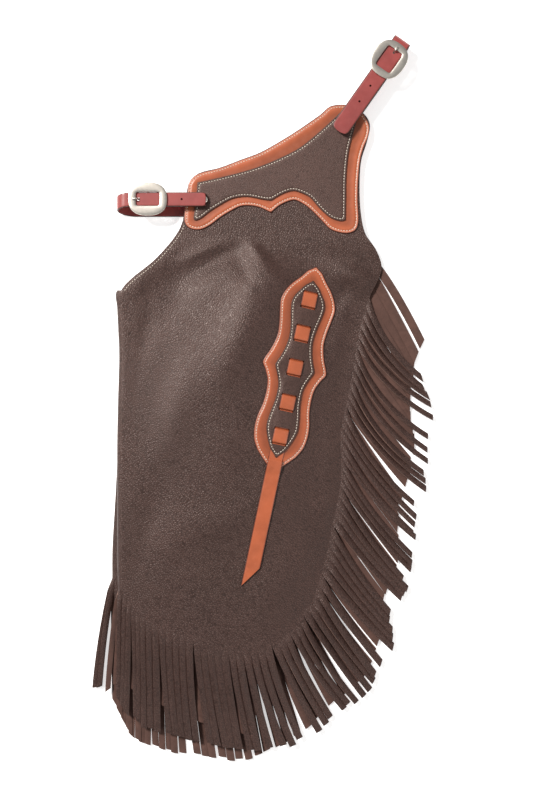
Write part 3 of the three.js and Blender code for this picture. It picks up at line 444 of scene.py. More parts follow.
def dress(obj, slot, *finishes, replaces=()):
    """Gives a piece its materials and its body, and hides the nodes that it stands for. slot is not
    used.
    """
    if finishes:
        obj.data.materials.clear()
    for finish in finishes:
        obj.data.materials.append(finish)
    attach(obj, "root")
    if replaces:
        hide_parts(*replaces)
    return obj


class Finish:
    """A procedural material while its nodes are put together."""

    def __init__(self, name):
        self.material = bpy.data.materials.new(name)
        self.material.use_nodes = True
        self.tree = self.material.node_tree
        self.shader = self.tree.nodes["Principled BSDF"]

    def put(self, socket, value):
        if isinstance(value, bpy.types.NodeSocket):
            self.tree.links.new(value, socket)
        else:
            socket.default_value = value

    def node(self, kind, inputs=None, **settings):
        made = self.tree.nodes.new(kind)
        for name, value in settings.items():
            setattr(made, name, value)
        for name, value in (inputs or {}).items():
            self.put(made.inputs[name], value)
        return made

    def surface(self, **inputs):
        for name, value in inputs.items():
            self.put(self.shader.inputs[name.replace("_", " ")], value)

    def coordinates(self, output="Object"):
        return self.node("ShaderNodeTexCoord").outputs[output]

    def noise(self, vector, scale, detail=3.0, roughness=0.55, distortion=0.0):
        return self.node("ShaderNodeTexNoise", {
            "Vector": vector, "Scale": scale, "Detail": detail, "Roughness": roughness,
            "Distortion": distortion,
        }).outputs["Fac"]

    def pebbles(self, vector, scale, feature="F1", jitter=1.0):
        made = self.node("ShaderNodeTexVoronoi", {"Vector": vector, "Scale": scale,
                                                  "Randomness": jitter}, feature=feature)
        return made.outputs["Distance"]

    def sum(self, first, second, operation="ADD", clamp=False):
        made = self.node("ShaderNodeMath", operation=operation, use_clamp=clamp)
        self.put(made.inputs[0], first)
        self.put(made.inputs[1], second)
        return made.outputs[0]

    def span(self, value, low, high, to_low=0.0, to_high=1.0):
        made = self.node("ShaderNodeMapRange", {
            "Value": value, "From Min": low, "From Max": high, "To Min": to_low, "To Max": to_high,
        }, interpolation_type="SMOOTHSTEP")
        return made.outputs["Result"]

    def blend(self, share, first, second, mode="MIX"):
        made = self.node("ShaderNodeMix", data_type="RGBA", blend_type=mode)
        self.put(made.inputs["Factor"], share)
        for name, value in (("A", first), ("B", second)):
            socket = [s for s in made.inputs if s.name == name and s.type == "RGBA"][0]
            self.put(socket, value if isinstance(value, bpy.types.NodeSocket) else (*value, 1))
        return [s for s in made.outputs if s.type == "RGBA"][0]

    def bump(self, height, strength, distance):
        return self.node("ShaderNodeBump", {
            "Height": height, "Strength": strength, "Distance": distance,
        }).outputs["Normal"]

    def attribute(self, name):
        return self.node("ShaderNodeAttribute", attribute_name=name).outputs["Fac"]


def shade(base, factor):
    """A colour made lighter or darker."""
    return tuple(min(value * factor, 1.0) for value in base)


def tinted(base, other, share):
    """A colour part of the way to another."""
    return tuple(lerp(a, b, share) for a, b in zip(base, other))


def known(name, build):
    """A material by its name, made the first time it is asked for."""
    return bpy.data.materials.get(name) or build(name)


def grain_leather(name, base, pebble=2.7 * MM, rough=0.45, depth=0.42 * MM):
    """Pebbled leather, grain side: round pebbles with cracks darkened as painted shade, cloudy colour,
    fine creases.
    """
    made = Finish(name)
    place = made.coordinates()
    bent = made.node("ShaderNodeVectorMath", operation="ADD")
    wander = made.node("ShaderNodeTexNoise", {"Vector": place, "Scale": 160.0, "Detail": 2.0})
    shrunk = made.node("ShaderNodeVectorMath", operation="SCALE")
    made.put(shrunk.inputs[0], wander.outputs["Color"])
    shrunk.inputs["Scale"].default_value = 0.4 * pebble
    made.put(bent.inputs[0], place)
    made.put(bent.inputs[1], shrunk.outputs[0])
    domes = made.pebbles(bent.outputs[0], 1 / pebble, "SMOOTH_F1")
    cracks = made.pebbles(bent.outputs[0], 1 / pebble, "DISTANCE_TO_EDGE")
    small = made.pebbles(bent.outputs[0], 2.3 / pebble, "F1")
    fine = made.noise(place, 1100, 2)
    cloud = made.noise(place, 9, 5, 0.6)
    spots = made.noise(place, 85, 4, 0.65)
    height = made.sum(made.span(cracks, 0.0, 0.3), made.sum(fine, 0.3, "MULTIPLY"))
    height = made.sum(height, made.sum(domes, 0.8, "MULTIPLY"), "SUBTRACT")
    height = made.sum(height, made.sum(small, 0.2, "MULTIPLY"), "SUBTRACT")
    height = made.sum(height, made.sum(spots, 1.0, "MULTIPLY"))
    tone = made.blend(made.span(cloud, 0.3, 0.7), shade(base, 0.86), shade(base, 1.14))
    tone = made.blend(made.span(spots, 0.35, 0.75, 0, 0.5), tone, shade(base, 1.35))
    # Painted shade: the cracks between the pebbles are darkened toward a third of the base colour.
    tone = made.blend(made.span(cracks, 0.0, 0.18, 0.85, 0), tone, shade(base, 0.3))
    made.surface(
        Base_Color=tone, Roughness=made.span(spots, 0.2, 0.8, rough - 0.08, rough + 0.1),
        Normal=made.bump(height, 0.5, depth), Specular_IOR_Level=0.5,
        Specular_Tint=(1.0, 0.84, 0.79, 1.0),
    )
    return made.material


def suede(name, base):
    """The flesh side: a short felted nap with darker and lighter patches."""
    made = Finish(name)
    place = made.coordinates()
    nap = made.noise(place, 1400, 3, 0.7)
    patches = made.noise(place, 60, 4, 0.65, 0.6)
    cloud = made.noise(place, 14, 3)
    tone = made.blend(made.span(patches, 0.3, 0.7), shade(base, 0.72), shade(base, 1.25))
    tone = made.blend(made.span(cloud, 0.35, 0.65, 0, 0.5), tone, shade(base, 0.8))
    tone = made.blend(made.span(nap, 0.3, 0.75, 0, 0.5), tone, shade(base, 1.5))
    height = made.sum(nap, made.sum(patches, 1.2, "MULTIPLY"))
    made.surface(Base_Color=tone, Normal=made.bump(height, 0.6, 0.35 * MM), Roughness=0.95,
                 Specular_IOR_Level=0.2, Sheen_Weight=0.35, Sheen_Roughness=0.5)
    return made.material


def cut_edge(name, base):
    """The cut edge of the leather, raw and fibrous, paler than its face."""
    made = Finish(name)
    place = made.coordinates()
    fibres = made.noise(place, 1100, 3, 0.7)
    worn = made.noise(place, 130, 3)
    tone = made.blend(made.span(fibres, 0.3, 0.7), shade(base, 0.75), shade(base, 1.3))
    tone = made.blend(made.span(worn, 0.4, 0.7, 0, 0.5), tone, shade(base, 1.45))
    made.surface(Base_Color=tone, Normal=made.bump(fibres, 0.5, 0.2 * MM), Roughness=0.72)
    return made.material


def smooth_leather(name, base, edge, by_strip=False, rough=0.36):
    """Smooth vegetable tanned leather with a burnished darker edge. On plates, a paler band along the
    stitched rim is partly the finish and partly painted highlight, and painted shade darkens it toward
    the overlay's edge.
    """
    made = Finish(name)
    place = made.coordinates()
    pores = made.noise(place, 1500, 2, 0.6)
    cloud = made.noise(place, 22, 4, 0.55)
    scuffs = made.noise(place, 120, 4, 0.7)
    tone = made.blend(made.span(cloud, 0.3, 0.7), shade(base, 0.84), shade(base, 1.13))
    tone = made.blend(made.span(scuffs, 0.45, 0.8, 0, 0.3), tone, shade(base, 1.3))
    if by_strip:
        split = made.node("ShaderNodeSeparateXYZ")
        made.put(split.inputs[0], made.coordinates("UV"))
        beside = made.sum(made.sum(split.outputs["Y"], 0.5, "SUBTRACT"), 0.0, "ABSOLUTE")
        inward = made.sum(0.5, beside, "SUBTRACT")
        burnt = made.span(inward, 0.01, 0.08, 0.95, 0)
        crease = made.span(inward, 0.075, 0.1, 0, 1)
    else:
        inward = made.attribute("from_edge")
        burnt = made.span(inward, 0.5 * MM, 1.8 * MM, 1.0, 0)
        crease = made.span(inward, 0.9 * MM, 1.6 * MM, 0, 1)
        # A paler pinkish band 1.6 to 5 mm in from the edge, along the stitched rim: partly the
        # leather's finish, partly a painted highlight on the raised band.
        tone = made.blend(made.span(inward, 1.6 * MM, 5 * MM, 0.35, 0), tone, srgb(224, 160, 136))
        # Painted shade: from 6 to 14 mm in from the edge, toward the overlay's edge, the colour darkens
        # toward half its value.
        tone = made.blend(made.span(inward, 6 * MM, 14 * MM, 0, 0.6), tone, shade(base, 0.55))
    tone = made.blend(burnt, tone, edge)
    height = made.sum(made.sum(pores, 0.4, "MULTIPLY"), crease)
    made.surface(
        Base_Color=tone, Roughness=made.span(scuffs, 0.3, 0.8, rough, rough + 0.14),
        Normal=made.bump(height, 0.35, 0.18 * MM), Specular_IOR_Level=0.5, Coat_Weight=0.12,
        Coat_Roughness=0.25,
    )
    return made.material


def thread_finish(name, base):
    """Twisted waxed thread."""
    made = Finish(name)
    place = made.coordinates()
    twist = made.noise(place, 1800, 2)
    soil = made.noise(place, 90, 3)
    tone = made.blend(made.span(soil, 0.35, 0.75, 0, 0.5), base, shade(base, 0.62))
    made.surface(Base_Color=tone, Normal=made.bump(twist, 0.5, 0.15 * MM), Roughness=0.6)
    return made.material


def nickel_finish(name, base):
    """Satin nickel with fine scratches and darker patches."""
    made = Finish(name)
    place = made.coordinates()
    stretch = made.node("ShaderNodeMapping", {"Vector": place, "Scale": (1.0, 7.0, 1.0)})
    lines = made.noise(stretch.outputs[0], 420, 4, 0.7)
    cloud = made.noise(place, 110, 3)
    tone = made.blend(made.span(cloud, 0.3, 0.75, 0, 0.6), base, shade(base, 0.78))
    made.surface(
        Base_Color=tone, Metallic=1.0, Roughness=made.span(lines, 0.25, 0.75, 0.31, 0.44),
        Normal=made.bump(lines, 0.12, 0.06 * MM),
    )
    return made.material


def finishes():
    """All materials of the object by their plain names."""
    tones = bpy.context.scene.chaps_colours
    grain, flesh, tan = tuple(tones.grain), tuple(tones.flesh), tuple(tones.tan)
    latigo, dark = tuple(tones.latigo), srgb(52, 26, 18)
    cut, burnished = tinted(flesh, srgb(150, 120, 108), 0.45), srgb(96, 40, 22)
    return {
        "grain": known("dark_grain_leather", lambda n: grain_leather(n, grain)),
        "flesh": known("suede_flesh_side", lambda n: suede(n, flesh)),
        "edge": known("leather_cut_edge", lambda n: cut_edge(n, cut)),
        "plate": known("dark_plate_leather", lambda n: grain_leather(
            n, shade(grain, 1.3), pebble=1.8 * MM, rough=0.5, depth=0.24 * MM)),
        "tan": known("tan_burnished_leather", lambda n: smooth_leather(n, tan, burnished)),
        "tan_strip": known("tan_strip_leather", lambda n: smooth_leather(
            n, shade(tan, 1.08), burnished, by_strip=True)),
        "latigo": known("latigo_leather", lambda n: smooth_leather(n, latigo, dark, True, 0.42)),
        "thread": known("waxed_thread", lambda n: thread_finish(n, tuple(tones.thread))),
        "nickel": known("satin_nickel", lambda n: nickel_finish(n, tuple(tones.nickel))),
        # The rivet's nickel is half again as light as the buckles': a painted highlight that lifts it
        # out of the strap's shadow.
        "rivet": known("bright_nickel", lambda n: nickel_finish(n, shade(tuple(tones.nickel), 1.5))),
    }


# Where the leather comes down from the yoke, shares of the leg's length
YOKE_FOOT = (0.245, 0.345)


def down_share(y):
    """How far down the leg a place is, as a share of its length."""
    return (TOP_Y - y) / LEG_LENGTH


def across_share(x):
    """How far from the fold a place is, as a share of the leg's width."""
    return (x - FOLD_X) / LEG_WIDTH


def relief(table, x, y):
    """Soft mounds and hollows, in metres."""
    height = np.zeros(np.broadcast(x, y).shape)
    for gx, gy, along, across, turn, rise in table:
        middle = spot(gx, gy)
        cosine, sine = math.cos(math.radians(turn)), math.sin(math.radians(turn))
        run = ((x - middle[0]) * cosine + (y - middle[1]) * sine) / (along * GRID)
        side = ((y - middle[1]) * cosine - (x - middle[0]) * sine) / (across * GRID)
        height += rise * MM * np.exp(-run * run - side * side)
    return height


def over_flaps(x):
    """1 over the inner flaps, 0 where only the far leg lies underneath."""
    return 1 - smoothstep(across_share(x), FLAP_WIDTH + 0.06, 0.98)


def near_height(x, y):
    """Height of the near leg's middle surface."""
    below = smoothstep(down_share(y), *YOKE_FOOT)
    inside = smoothstep(across_share(x), 0, 0.25)
    body = lerp(NEAR_LOW_MID, NEAR_FOLD_MID, over_flaps(x)) + relief(SWELLS, x, y) * inside
    return lerp(NEAR_YOKE_MID, body, below)


def near_detail(x, y):
    """Finer creases of the leather on top of its main form."""
    clear = smoothstep(down_share(y), 0.235, 0.27)
    return relief(CREASES, x, y) * clear


def far_height(x, y):
    """Height of the far leg's middle surface."""
    return lerp(FAR_YOKE_MID, FAR_PANEL_MID, smoothstep(down_share(y), *YOKE_FOOT))


class Leg:
    """One leg's leather: an outer panel, a fold and an inner flap."""

    def __init__(self, name, sizes):
        self.name = name
        self.near = name == "near"
        self.side = 1 if self.near else -1
        self.radius = (6 if self.near else 3) * MM
        self.flap_mid = NEAR_FLAP_MID if self.near else FAR_FLAP_MID
        self.fringe_station = NEAR_FRINGE_STATION if self.near else FAR_FRINGE_STATION
        self.side_cells = 3 * sizes.side_strips
        self.hem_cells = 3 * sizes.hem_strips
        self.flap_cells = 2 * sizes.flap_strips
        self.fold_cells = 7
        self.lay_out()

    def plan(self, station, share):
        """A place on the outer panel, station down the leg and share across it."""
        station, share = np.broadcast_arrays(np.asarray(station, float), np.asarray(share, float))
        row = follow(LEG_ROWS, range(len(LEG_ROWS)), station)
        left, right = spot(row[..., 0], row[..., 1]), spot(row[..., 2], row[..., 3])
        inset = self.radius * smoothstep(station, CORNER_STATION - 1, CORNER_STATION)
        hem, top = (
            follow([[depth] for _, depth in shape], [at for at, _ in shape], share)[..., 0]
            for shape in (HEM_SHAPE, TOP_SHAPE)
        )
        x = lerp(left[..., 0] + inset, right[..., 0], share)
        y = lerp(left[..., 1], right[..., 1], share) + (row[..., 5] * top - row[..., 4] * hem) * GRID
        if not self.near:
            spread = smoothstep(down_share(y), 0.58, 0.95)
            slide = smoothstep(down_share(y), 0.35, 0.85)
            down = lerp(-15, 13, smoothstep(across_share(x), 0, 0.3)) * MM
            x, y = x + lerp(-11, 6, across_share(x)) * MM * spread, y - down * slide
        return x, y

    def height(self, x, y):
        if not self.near:
            return far_height(x, y)
        return near_height(x, y) + near_detail(x, y)

    def flap_plan(self, station, share):
        """A place on the inner flap, share counted from the fold."""
        fold_x, fold_y = self.plan(station, 0)
        corner_y = self.plan(CORNER_STATION, 0)[1]
        hem_y = self.plan(LAST_STATION, 0)[1]
        down = (corner_y - fold_y) / (corner_y - hem_y)
        fall = lerp(0.2 * LEG_LENGTH * share**0.8,
                    0.09 * LEG_LENGTH * np.sin(share * np.pi / 2), down)
        return fold_x + share * FLAP_WIDTH * LEG_WIDTH, fold_y - fall

    def lay_out(self):
        """Stations and shares that give the fringe's strips even roots."""
        trial = np.linspace(self.fringe_station, LAST_STATION, 800)
        edge = np.stack(self.plan(trial, 1.0), axis=-1)
        places = even_places(edge, self.side_cells)
        low = np.interp(places, np.arange(len(trial)), trial)
        top = np.linspace(0, self.fringe_station, 76)[:-1]
        corner = np.argmin(np.abs(top - CORNER_STATION))
        top[corner] = CORNER_STATION
        self.stations = np.concatenate([top, low])
        self.corner_row = int(corner)
        self.fringe_row = len(top)
        shares = np.linspace(0, 1, 800)
        edge = np.stack(self.plan(LAST_STATION, shares), axis=-1)
        places = even_places(edge, self.hem_cells)
        self.shares = np.interp(places, np.arange(len(shares)), shares)
        x, y = self.plan(self.stations[:, None], self.shares[None, :])
        self.panel = np.stack([x, y, self.height(x, y)], axis=-1)

    def flap(self):
        """Points of the flap for each row, from the fold outward."""
        share = np.linspace(0, 1, self.flap_cells + 1)[None, :]
        x, y = self.flap_plan(self.stations[:, None], share)
        return np.stack([x, y, np.full(x.shape, self.flap_mid)], axis=-1)

    def side_edge(self):
        return self.panel[self.fringe_row:, -1]

    def hem_edge(self):
        """The hem from the side to the outermost line of the fold."""
        return np.vstack([self.panel[-1, ::-1], self.fold()[-1, :-4:-1]])

    def flap_hem(self):
        """The flap's hem from the outermost line of the fold to the flap's free edge."""
        return np.vstack([self.fold()[-1, 4:0:-1], self.flap()[-1]])

    def fold(self):
        """Points of the rolled fold for each row, from the flap up to the panel."""
        start = self.panel[:, :1]
        turn = np.pi * np.arange(self.fold_cells, 0, -1)[None, :] / self.fold_cells
        middle = (start[..., 2] + self.flap_mid) / 2
        rise = (start[..., 2] - self.flap_mid) / 2
        return np.stack([
            start[..., 0] - self.radius * np.sin(turn),
            np.broadcast_to(start[..., 1], (len(start), self.fold_cells)),
            middle + rise * np.cos(turn),
        ], axis=-1)

    def cut_area(self):
        """Area of the flat cut: the panel and the flap in plan, and the strip that rolls over."""
        fold = self.fold()[self.corner_row:]
        rise = abs(np.mean(self.panel[self.corner_row:, 0, 2]) - self.flap_mid) / 2
        round_fold = np.pi * math.sqrt((self.radius**2 + rise**2) / 2)
        down = np.linalg.norm(np.diff(fold[:, 0, :2], axis=0), axis=1).sum()
        return plan_area(self.panel) + plan_area(self.flap()[self.corner_row:]) + round_fold * down

    def make(self):
        """The leg's leather as an open sheet."""
        rows = len(self.stations)
        grid = np.concatenate([self.flap()[:, :0:-1], self.fold(), self.panel], axis=1)
        columns = grid.shape[1]
        first_panel = columns - self.panel.shape[1]
        number = -np.ones(grid.shape[:2], int)
        keep = np.ones(grid.shape[:2], bool)
        keep[: self.corner_row, :first_panel] = False
        number[keep] = np.arange(keep.sum())
        faces, top = [], []
        for i in range(rows - 1):
            begin = 0 if i >= self.corner_row else first_panel
            for j in range(begin, columns - 1):
                top.append(j >= first_panel)
                faces.append((number[i, j], number[i + 1, j], number[i + 1, j + 1], number[i, j + 1]))
        obj = sheet_piece(f"{self.name}_leg_leather", grid[keep], faces, np.array(top))
        if not self.near:
            obj.data.flip_normals()
        return obj


def thicken(obj, thickness, sides=None):
    """Gives a sheet its thickness, half to each side. sides are the finishes of the face,
    of the back and of the cut edges."""
    for finish in sides or ():
        obj.data.materials.append(finish)
    modify(obj, "SOLIDIFY", thickness=thickness, offset=0, use_even_offset=False,
           material_offset=1 if sides else 0, material_offset_rim=2 if sides else 0)


def fringe_piece(name, leg, runs, table, sizes, rest, cells, ways):
    """Strips that grow from the leather's edge. Each has its own turn, curl and stand."""
    random = np.random.default_rng(ways["seed"])
    lengths = [np.linalg.norm(np.diff(run[:, :2], axis=0), axis=1).sum() for run in runs]
    roots, places = [], []
    for number, (run, run_length) in enumerate(zip(runs, lengths)):
        strips = (len(run) - 1) // cells
        for strip in range(strips):
            roots.append(run[strip * cells: strip * cells + cells + 1])
            passed = sum(lengths[:number]) + run_length * (strip + 0.5) / strips
            places.append(passed / sum(lengths))
    rows = follow([row[1:] for row in table], [row[0] for row in table], places)
    middles = np.array([root.mean(axis=0) for root in roots])
    turns = np.radians(rows[:, 1])
    aims = middles[:, :2] + (rows[:, :1] * sizes.fringe) * np.stack(
        [np.sin(turns), -np.cos(turns)], axis=-1)
    cuts = np.gradient(aims, axis=0)
    usual = np.median([np.linalg.norm((root[-1] - root[0])[:2]) for root in roots])
    clump, clump_size, clump_turn, clump_curl = 0, 1, 0.0, 0.0
    steps = 20
    points, faces = [], []
    for number, root in enumerate(roots):
        length, turn, curl, stand, loose = rows[number]
        if clump == clump_size:
            clump, clump_size = 0, int(random.integers(*ways["clumps"]))
            clump_turn, clump_curl = random.normal(0, 1.5), random.normal(0, 4)
        within = clump - (clump_size - 1) / 2
        clump += 1
        length *= sizes.fringe * (1 + random.normal(0, 0.013) * loose)
        turn += loose * (clump_turn + within * ways["gather"] + random.normal(0, 0.5))
        curl += loose * (clump_curl + random.normal(0, 2))
        stand = stand * random.uniform(0.7, 1.15) + loose * random.normal(0, 3)
        edge = (root[-1] - root[0])[:2]
        lean = np.radians(turn + curl * np.linspace(-0.5, 0.5, steps))
        ahead = np.stack([np.sin(lean), -np.cos(lean)], axis=-1)
        beside = np.stack([-np.cos(lean), -np.sin(lean)], axis=-1)
        reach = np.linspace(0, 1, steps) ** 1.15
        line = middles[number, :2] + np.cumsum(
            np.diff(reach, prepend=0)[:, None] * length * ahead, axis=0)
        root_width, root_slant = edge @ beside[0], edge @ ahead[0]
        width = max(root_width, 0.75 * usual) * random.uniform(*ways["widths"])
        cut = cuts[number]
        tip_slant = width * (cut @ ahead[-1]) / max(cut @ beside[-1], 0.4 * np.linalg.norm(cut))
        settle = smoothstep(reach, 0, 0.12)
        stands = np.radians(stand) * smoothstep(reach, 0.0, 0.2) * (1 - 0.4 * smoothstep(reach, 0.5, 1))
        widths = lerp(root_width, width, settle) * (1 - 0.04 * reach)
        slants = lerp(root_slant, tip_slant, smoothstep(reach, 0, 1))
        base = lerp(middles[number, 2], rest(line[:, 0], line[:, 1]), smoothstep(reach, 0, 0.75))
        base = base + (number % 2) * ways["layer"] * smoothstep(reach, 0.1, 0.7)
        base = base + 0.42 * widths * np.abs(np.sin(stands))
        base = base + random.uniform(0, 1.2) * MM * np.sin(np.pi * reach) ** 2
        offset = len(points)
        for i in range(steps):
            for k in range(cells + 1):
                across = k / cells - 0.5
                plan = line[i] + across * (
                    beside[i] * widths[i] * math.cos(stands[i]) + ahead[i] * slants[i])
                cup = 0.9 * MM * (1 - 4 * across * across) * settle[i]
                place = np.array([*plan, base[i] + across * widths[i] * math.sin(stands[i]) + cup])
                points.append(lerp(root[k], place, (0, 0.35, 0.8)[i]) if i < 3 else place)
        for i in range(steps - 1):
            for k in range(cells):
                a = offset + i * (cells + 1) + k
                faces.append((a, a + 1, a + cells + 2, a + cells + 1))
    obj = sheet_piece(name, points, faces, np.ones(len(faces), bool))
    if leg.side < 0:
        obj.data.flip_normals()
    return obj


class CHAPS_OT_legs(bpy.types.Operator):
    """Makes the leather of both legs, each with its outer panel, fold and inner flap"""

    bl_idname = "chaps.legs"
    bl_label = "Leg leathers"

    def execute(self, context):
        sizes, looks = context.scene.chaps_sizes, finishes()
        for name in ("far", "near"):
            leg = Leg(name, sizes)
            obj = leg.make()
            thicken(obj, sizes.leather, (looks["grain"], looks["flesh"], looks["edge"]))
            dress(obj, "dark_leather", replaces=[f"{name}_leg"])
            smooth_shaded(obj, 50)
            round(leg.cut_area(), 4)
        return {"FINISHED"}


class CHAPS_OT_fringe(bpy.types.Operator):
    """Makes the strips along the sides and hems of both legs and both flaps"""

    bl_idname = "chaps.fringe"
    bl_label = "Fringe"

    def execute(self, context):
        sizes = context.scene.chaps_sizes
        near, far = Leg("near", sizes), Leg("far", sizes)
        self.add("near_fringe", near, [near.side_edge(), near.hem_edge()], NEAR_FRINGE, sizes,
                 lambda x, y: lerp(6.4 * MM, NEAR_FLAP_MID + 1.2 * MM, over_flaps(x)), 3, False,
                 "dark_leather", seed=11, clumps=(3, 6), gather=1.3, layer=0.5 * MM,
                 widths=(0.93, 1.0))
        self.add("far_fringe", far, [far.side_edge(), far.hem_edge()], FAR_FRINGE, sizes,
                 lambda x, y: 1.2 * MM + 0 * x, 3, False,
                 "suede", seed=23, clumps=(3, 6), gather=0.6, layer=2.0 * MM, widths=(0.98, 1.04))
        self.add("near_flap_fringe", near, [near.flap_hem()], NEAR_FLAP_FRINGE, sizes,
                 lambda x, y: NEAR_FLAP_MID - 2 * MM + 0 * x, 2, True,
                 "suede", seed=37, clumps=(3, 6), gather=0.2, layer=0.0, widths=(0.93, 0.99))
        self.add("far_flap_fringe", far, [far.flap_hem()], FAR_FLAP_FRINGE, sizes,
                 lambda x, y: FAR_FLAP_MID - 2.6 * MM + 0 * x, 2, True,
                 "dark_leather", seed=41, clumps=(3, 6), gather=0.3, layer=0.0, widths=(0.93, 0.99))
        return {"FINISHED"}

    def add(self, node, leg, runs, table, sizes, rest, cells, backwards, slot, **ways):
        looks = finishes()
        if backwards:
            runs = [run[::-1] for run in runs]
            table = [(1 - row[0], *row[1:]) for row in reversed(table)]
        obj = fringe_piece(f"{node}_strips", leg, runs, table, sizes, rest, cells, ways)
        if backwards:
            obj.data.flip_normals()
        length = sum(np.linalg.norm(np.diff(run[:, :2], axis=0), axis=1).sum() for run in runs)
        thicken(obj, sizes.leather, (looks["grain"], looks["flesh"], looks["edge"]))
        dress(obj, slot, replaces=[node])
        smooth_shaded(obj, 50)


def outline_of(table, corners, step):
    """A closed outline, smooth between its corners, at an even step."""
    points = spot(*np.array(table, float).T)
    count = len(points)
    first = corners[0] if corners else 0
    order = [(first + n) % count for n in range(count + 1)]
    runs, run = [], [order[0]]
    for n in order[1:]:
        run.append(n)
        if n in corners or n == order[-1] and len(run) > 1:
            runs.append(run)
            run = [n]
    line = []
    for run in runs:
        rows = points[run]
        closed = not corners
        if closed:
            rows = np.vstack([points[run[-2]], rows, points[run[1]]])
        places = np.arange(len(rows))
        low, high = (1, len(rows) - 2) if closed else (0, len(rows) - 1)
        wanted = np.linspace(low, high, (high - low) * 8 + 1)
        smooth = follow(rows, places, wanted)
        line.append(resampled(smooth, step)[:-1])
    return np.vstack(line)


def inward_of(outline):
    """Unit directions into a closed outline at each of its points."""
    ahead = np.roll(outline, -1, axis=0) - np.roll(outline, 1, axis=0)
    ahead /= np.linalg.norm(ahead, axis=1)[:, None]
    inward = np.stack([-ahead[:, 1], ahead[:, 0]], axis=-1)
    x, y = outline.T
    turning = (x * np.roll(y, -1) - np.roll(x, -1) * y).sum()
    return inward if turning > 0 else -inward


def line_distance(points, outline):
    """Distance of points from a closed outline."""
    run = np.roll(outline, -1, axis=0) - outline
    length = (run**2).sum(axis=1)
    best = np.full(len(points), 1e9)
    for begin, step, size in zip(outline, run, length):
        share = np.clip(((points - begin) @ step) / max(size, 1e-15), 0, 1)
        gap = points - (begin + share[:, None] * step)
        best = np.minimum(best, (gap**2).sum(axis=1))
    return np.sqrt(best)


# A point moved inward is kept if it stays this share of the way from every edge
INSET_CLEAR = 0.985


def inset_line(outline, distance, step):
    """A line that runs inside a closed outline at a distance from it."""
    moved = outline + inward_of(outline) * distance
    clear = line_distance(moved, outline) > distance * INSET_CLEAR
    return resampled(moved[clear], step, closed=True)


def leather_plate(name, outline, rest, thickness, profile, slots=(), under=False):
    """A plate of leather. Its face is triangulated on rings that follow its edge, so that the
    profile, distances from the edge with heights, rounds the edge and presses the seam's
    channel. slots are closed outlines that are cut out, rest is the height it lies on."""
    rings = [outline]
    for distance, _ in profile[1:]:
        moved = outline + inward_of(outline) * distance
        rings.append(moved[line_distance(moved, outline) > distance * INSET_CLEAR])
    low, high, space = outline.min(axis=0), outline.max(axis=0), 4 * MM
    grid = np.stack(np.meshgrid(np.arange(low[0], high[0], space),
                                np.arange(low[1], high[1], space)), axis=-1).reshape(-1, 2)
    inner = [*rings[1:], grid[line_distance(grid, outline) > profile[-1][0] + space / 2]]
    for slot in slots:
        inner = [points[line_distance(points, slot) > 0.9 * MM] for points in inner]
    loops = [outline, *slots]
    counts = np.cumsum([0] + [len(loop) for loop in loops])
    edges = [
        (int(begin + n), int(begin + (n + 1) % len(loop)))
        for begin, loop in zip(counts, loops) for n in range(len(loop))
    ]
    flat = np.concatenate([*loops, *inner]) / MM
    found, _, triangles, *_ = delaunay_2d_cdt([Vector(p) for p in flat], edges, [], 1, 1e-4)
    plan = np.array(found) * MM
    triangles = np.array(triangles)
    middles = plan[triangles].mean(axis=1)
    cut_out = np.zeros(len(triangles), bool)
    for slot in slots:
        cut_out |= inside_of(middles, slot)
    triangles = triangles[~cut_out]
    used, triangles = np.unique(triangles, return_inverse=True)
    triangles = triangles.reshape(-1, 3)
    plan = plan[used]
    from_edge = line_distance(plan, outline)
    heights = np.interp(from_edge, *np.array(profile).T) * thickness
    level = rest(plan[:, 0], plan[:, 1])
    top, bottom = level + heights, level + 0 * heights
    if under:
        top, bottom = level + thickness - heights, level + thickness + 0 * heights
    size = len(plan)
    points = np.concatenate([np.column_stack([plan, top]), np.column_stack([plan, bottom])])
    seen = {}
    for a, b, c in triangles.tolist():
        seen.update({(a, b): 1, (b, c): 1, (c, a): 1})
    walls = [(b, a, size + a, size + b) for a, b in seen if (b, a) not in seen]
    faces = [tuple(t) for t in triangles.tolist()]
    faces += [tuple(size + n for n in reversed(t)) for t in triangles.tolist()] + walls
    obj = mesh_piece(name, points, faces)
    if under:
        obj.data.flip_normals()
    stored = obj.data.attributes.new("from_edge", "FLOAT", "POINT")
    stored.data.foreach_set("value", np.tile(from_edge, 2).astype(np.float32))
    return obj


def inside_of(points, outline):
    """Which points lie inside a closed outline."""
    inside = np.zeros(len(points), bool)
    for (x0, y0), (x1, y1) in zip(outline, np.roll(outline, -1, axis=0)):
        if y0 == y1:
            continue
        crosses = (y0 > points[:, 1]) != (y1 > points[:, 1])
        inside ^= crosses & (points[:, 0] < x0 + (points[:, 1] - y0) * (x1 - x0) / (y1 - y0))
    return inside


# A stitch's length as a share of the way to the next
STITCH_SHARE = 0.68


def stitch_template(length, thickness):
    """One stitch: a small rounded rod that lies along X."""
    bpy.ops.object.select_all(action="DESELECT")
    bpy.ops.mesh.primitive_uv_sphere_add(segments=7, ring_count=5, radius=0.5)
    obj = bpy.context.object
    points = np.array([v.co[:] for v in obj.data.vertices])
    faces = [tuple(face.vertices) for face in obj.data.polygons]
    bpy.data.objects.remove(obj)
    points = points[:, [2, 1, 0]] * (1, 1, -1)
    along = np.sign(points[:, 0]) * np.abs(points[:, 0] * 2) ** 0.55 / 2
    across, up = points[:, 1] * thickness, points[:, 2] * thickness
    return np.stack([along * length, across, up], axis=-1), faces


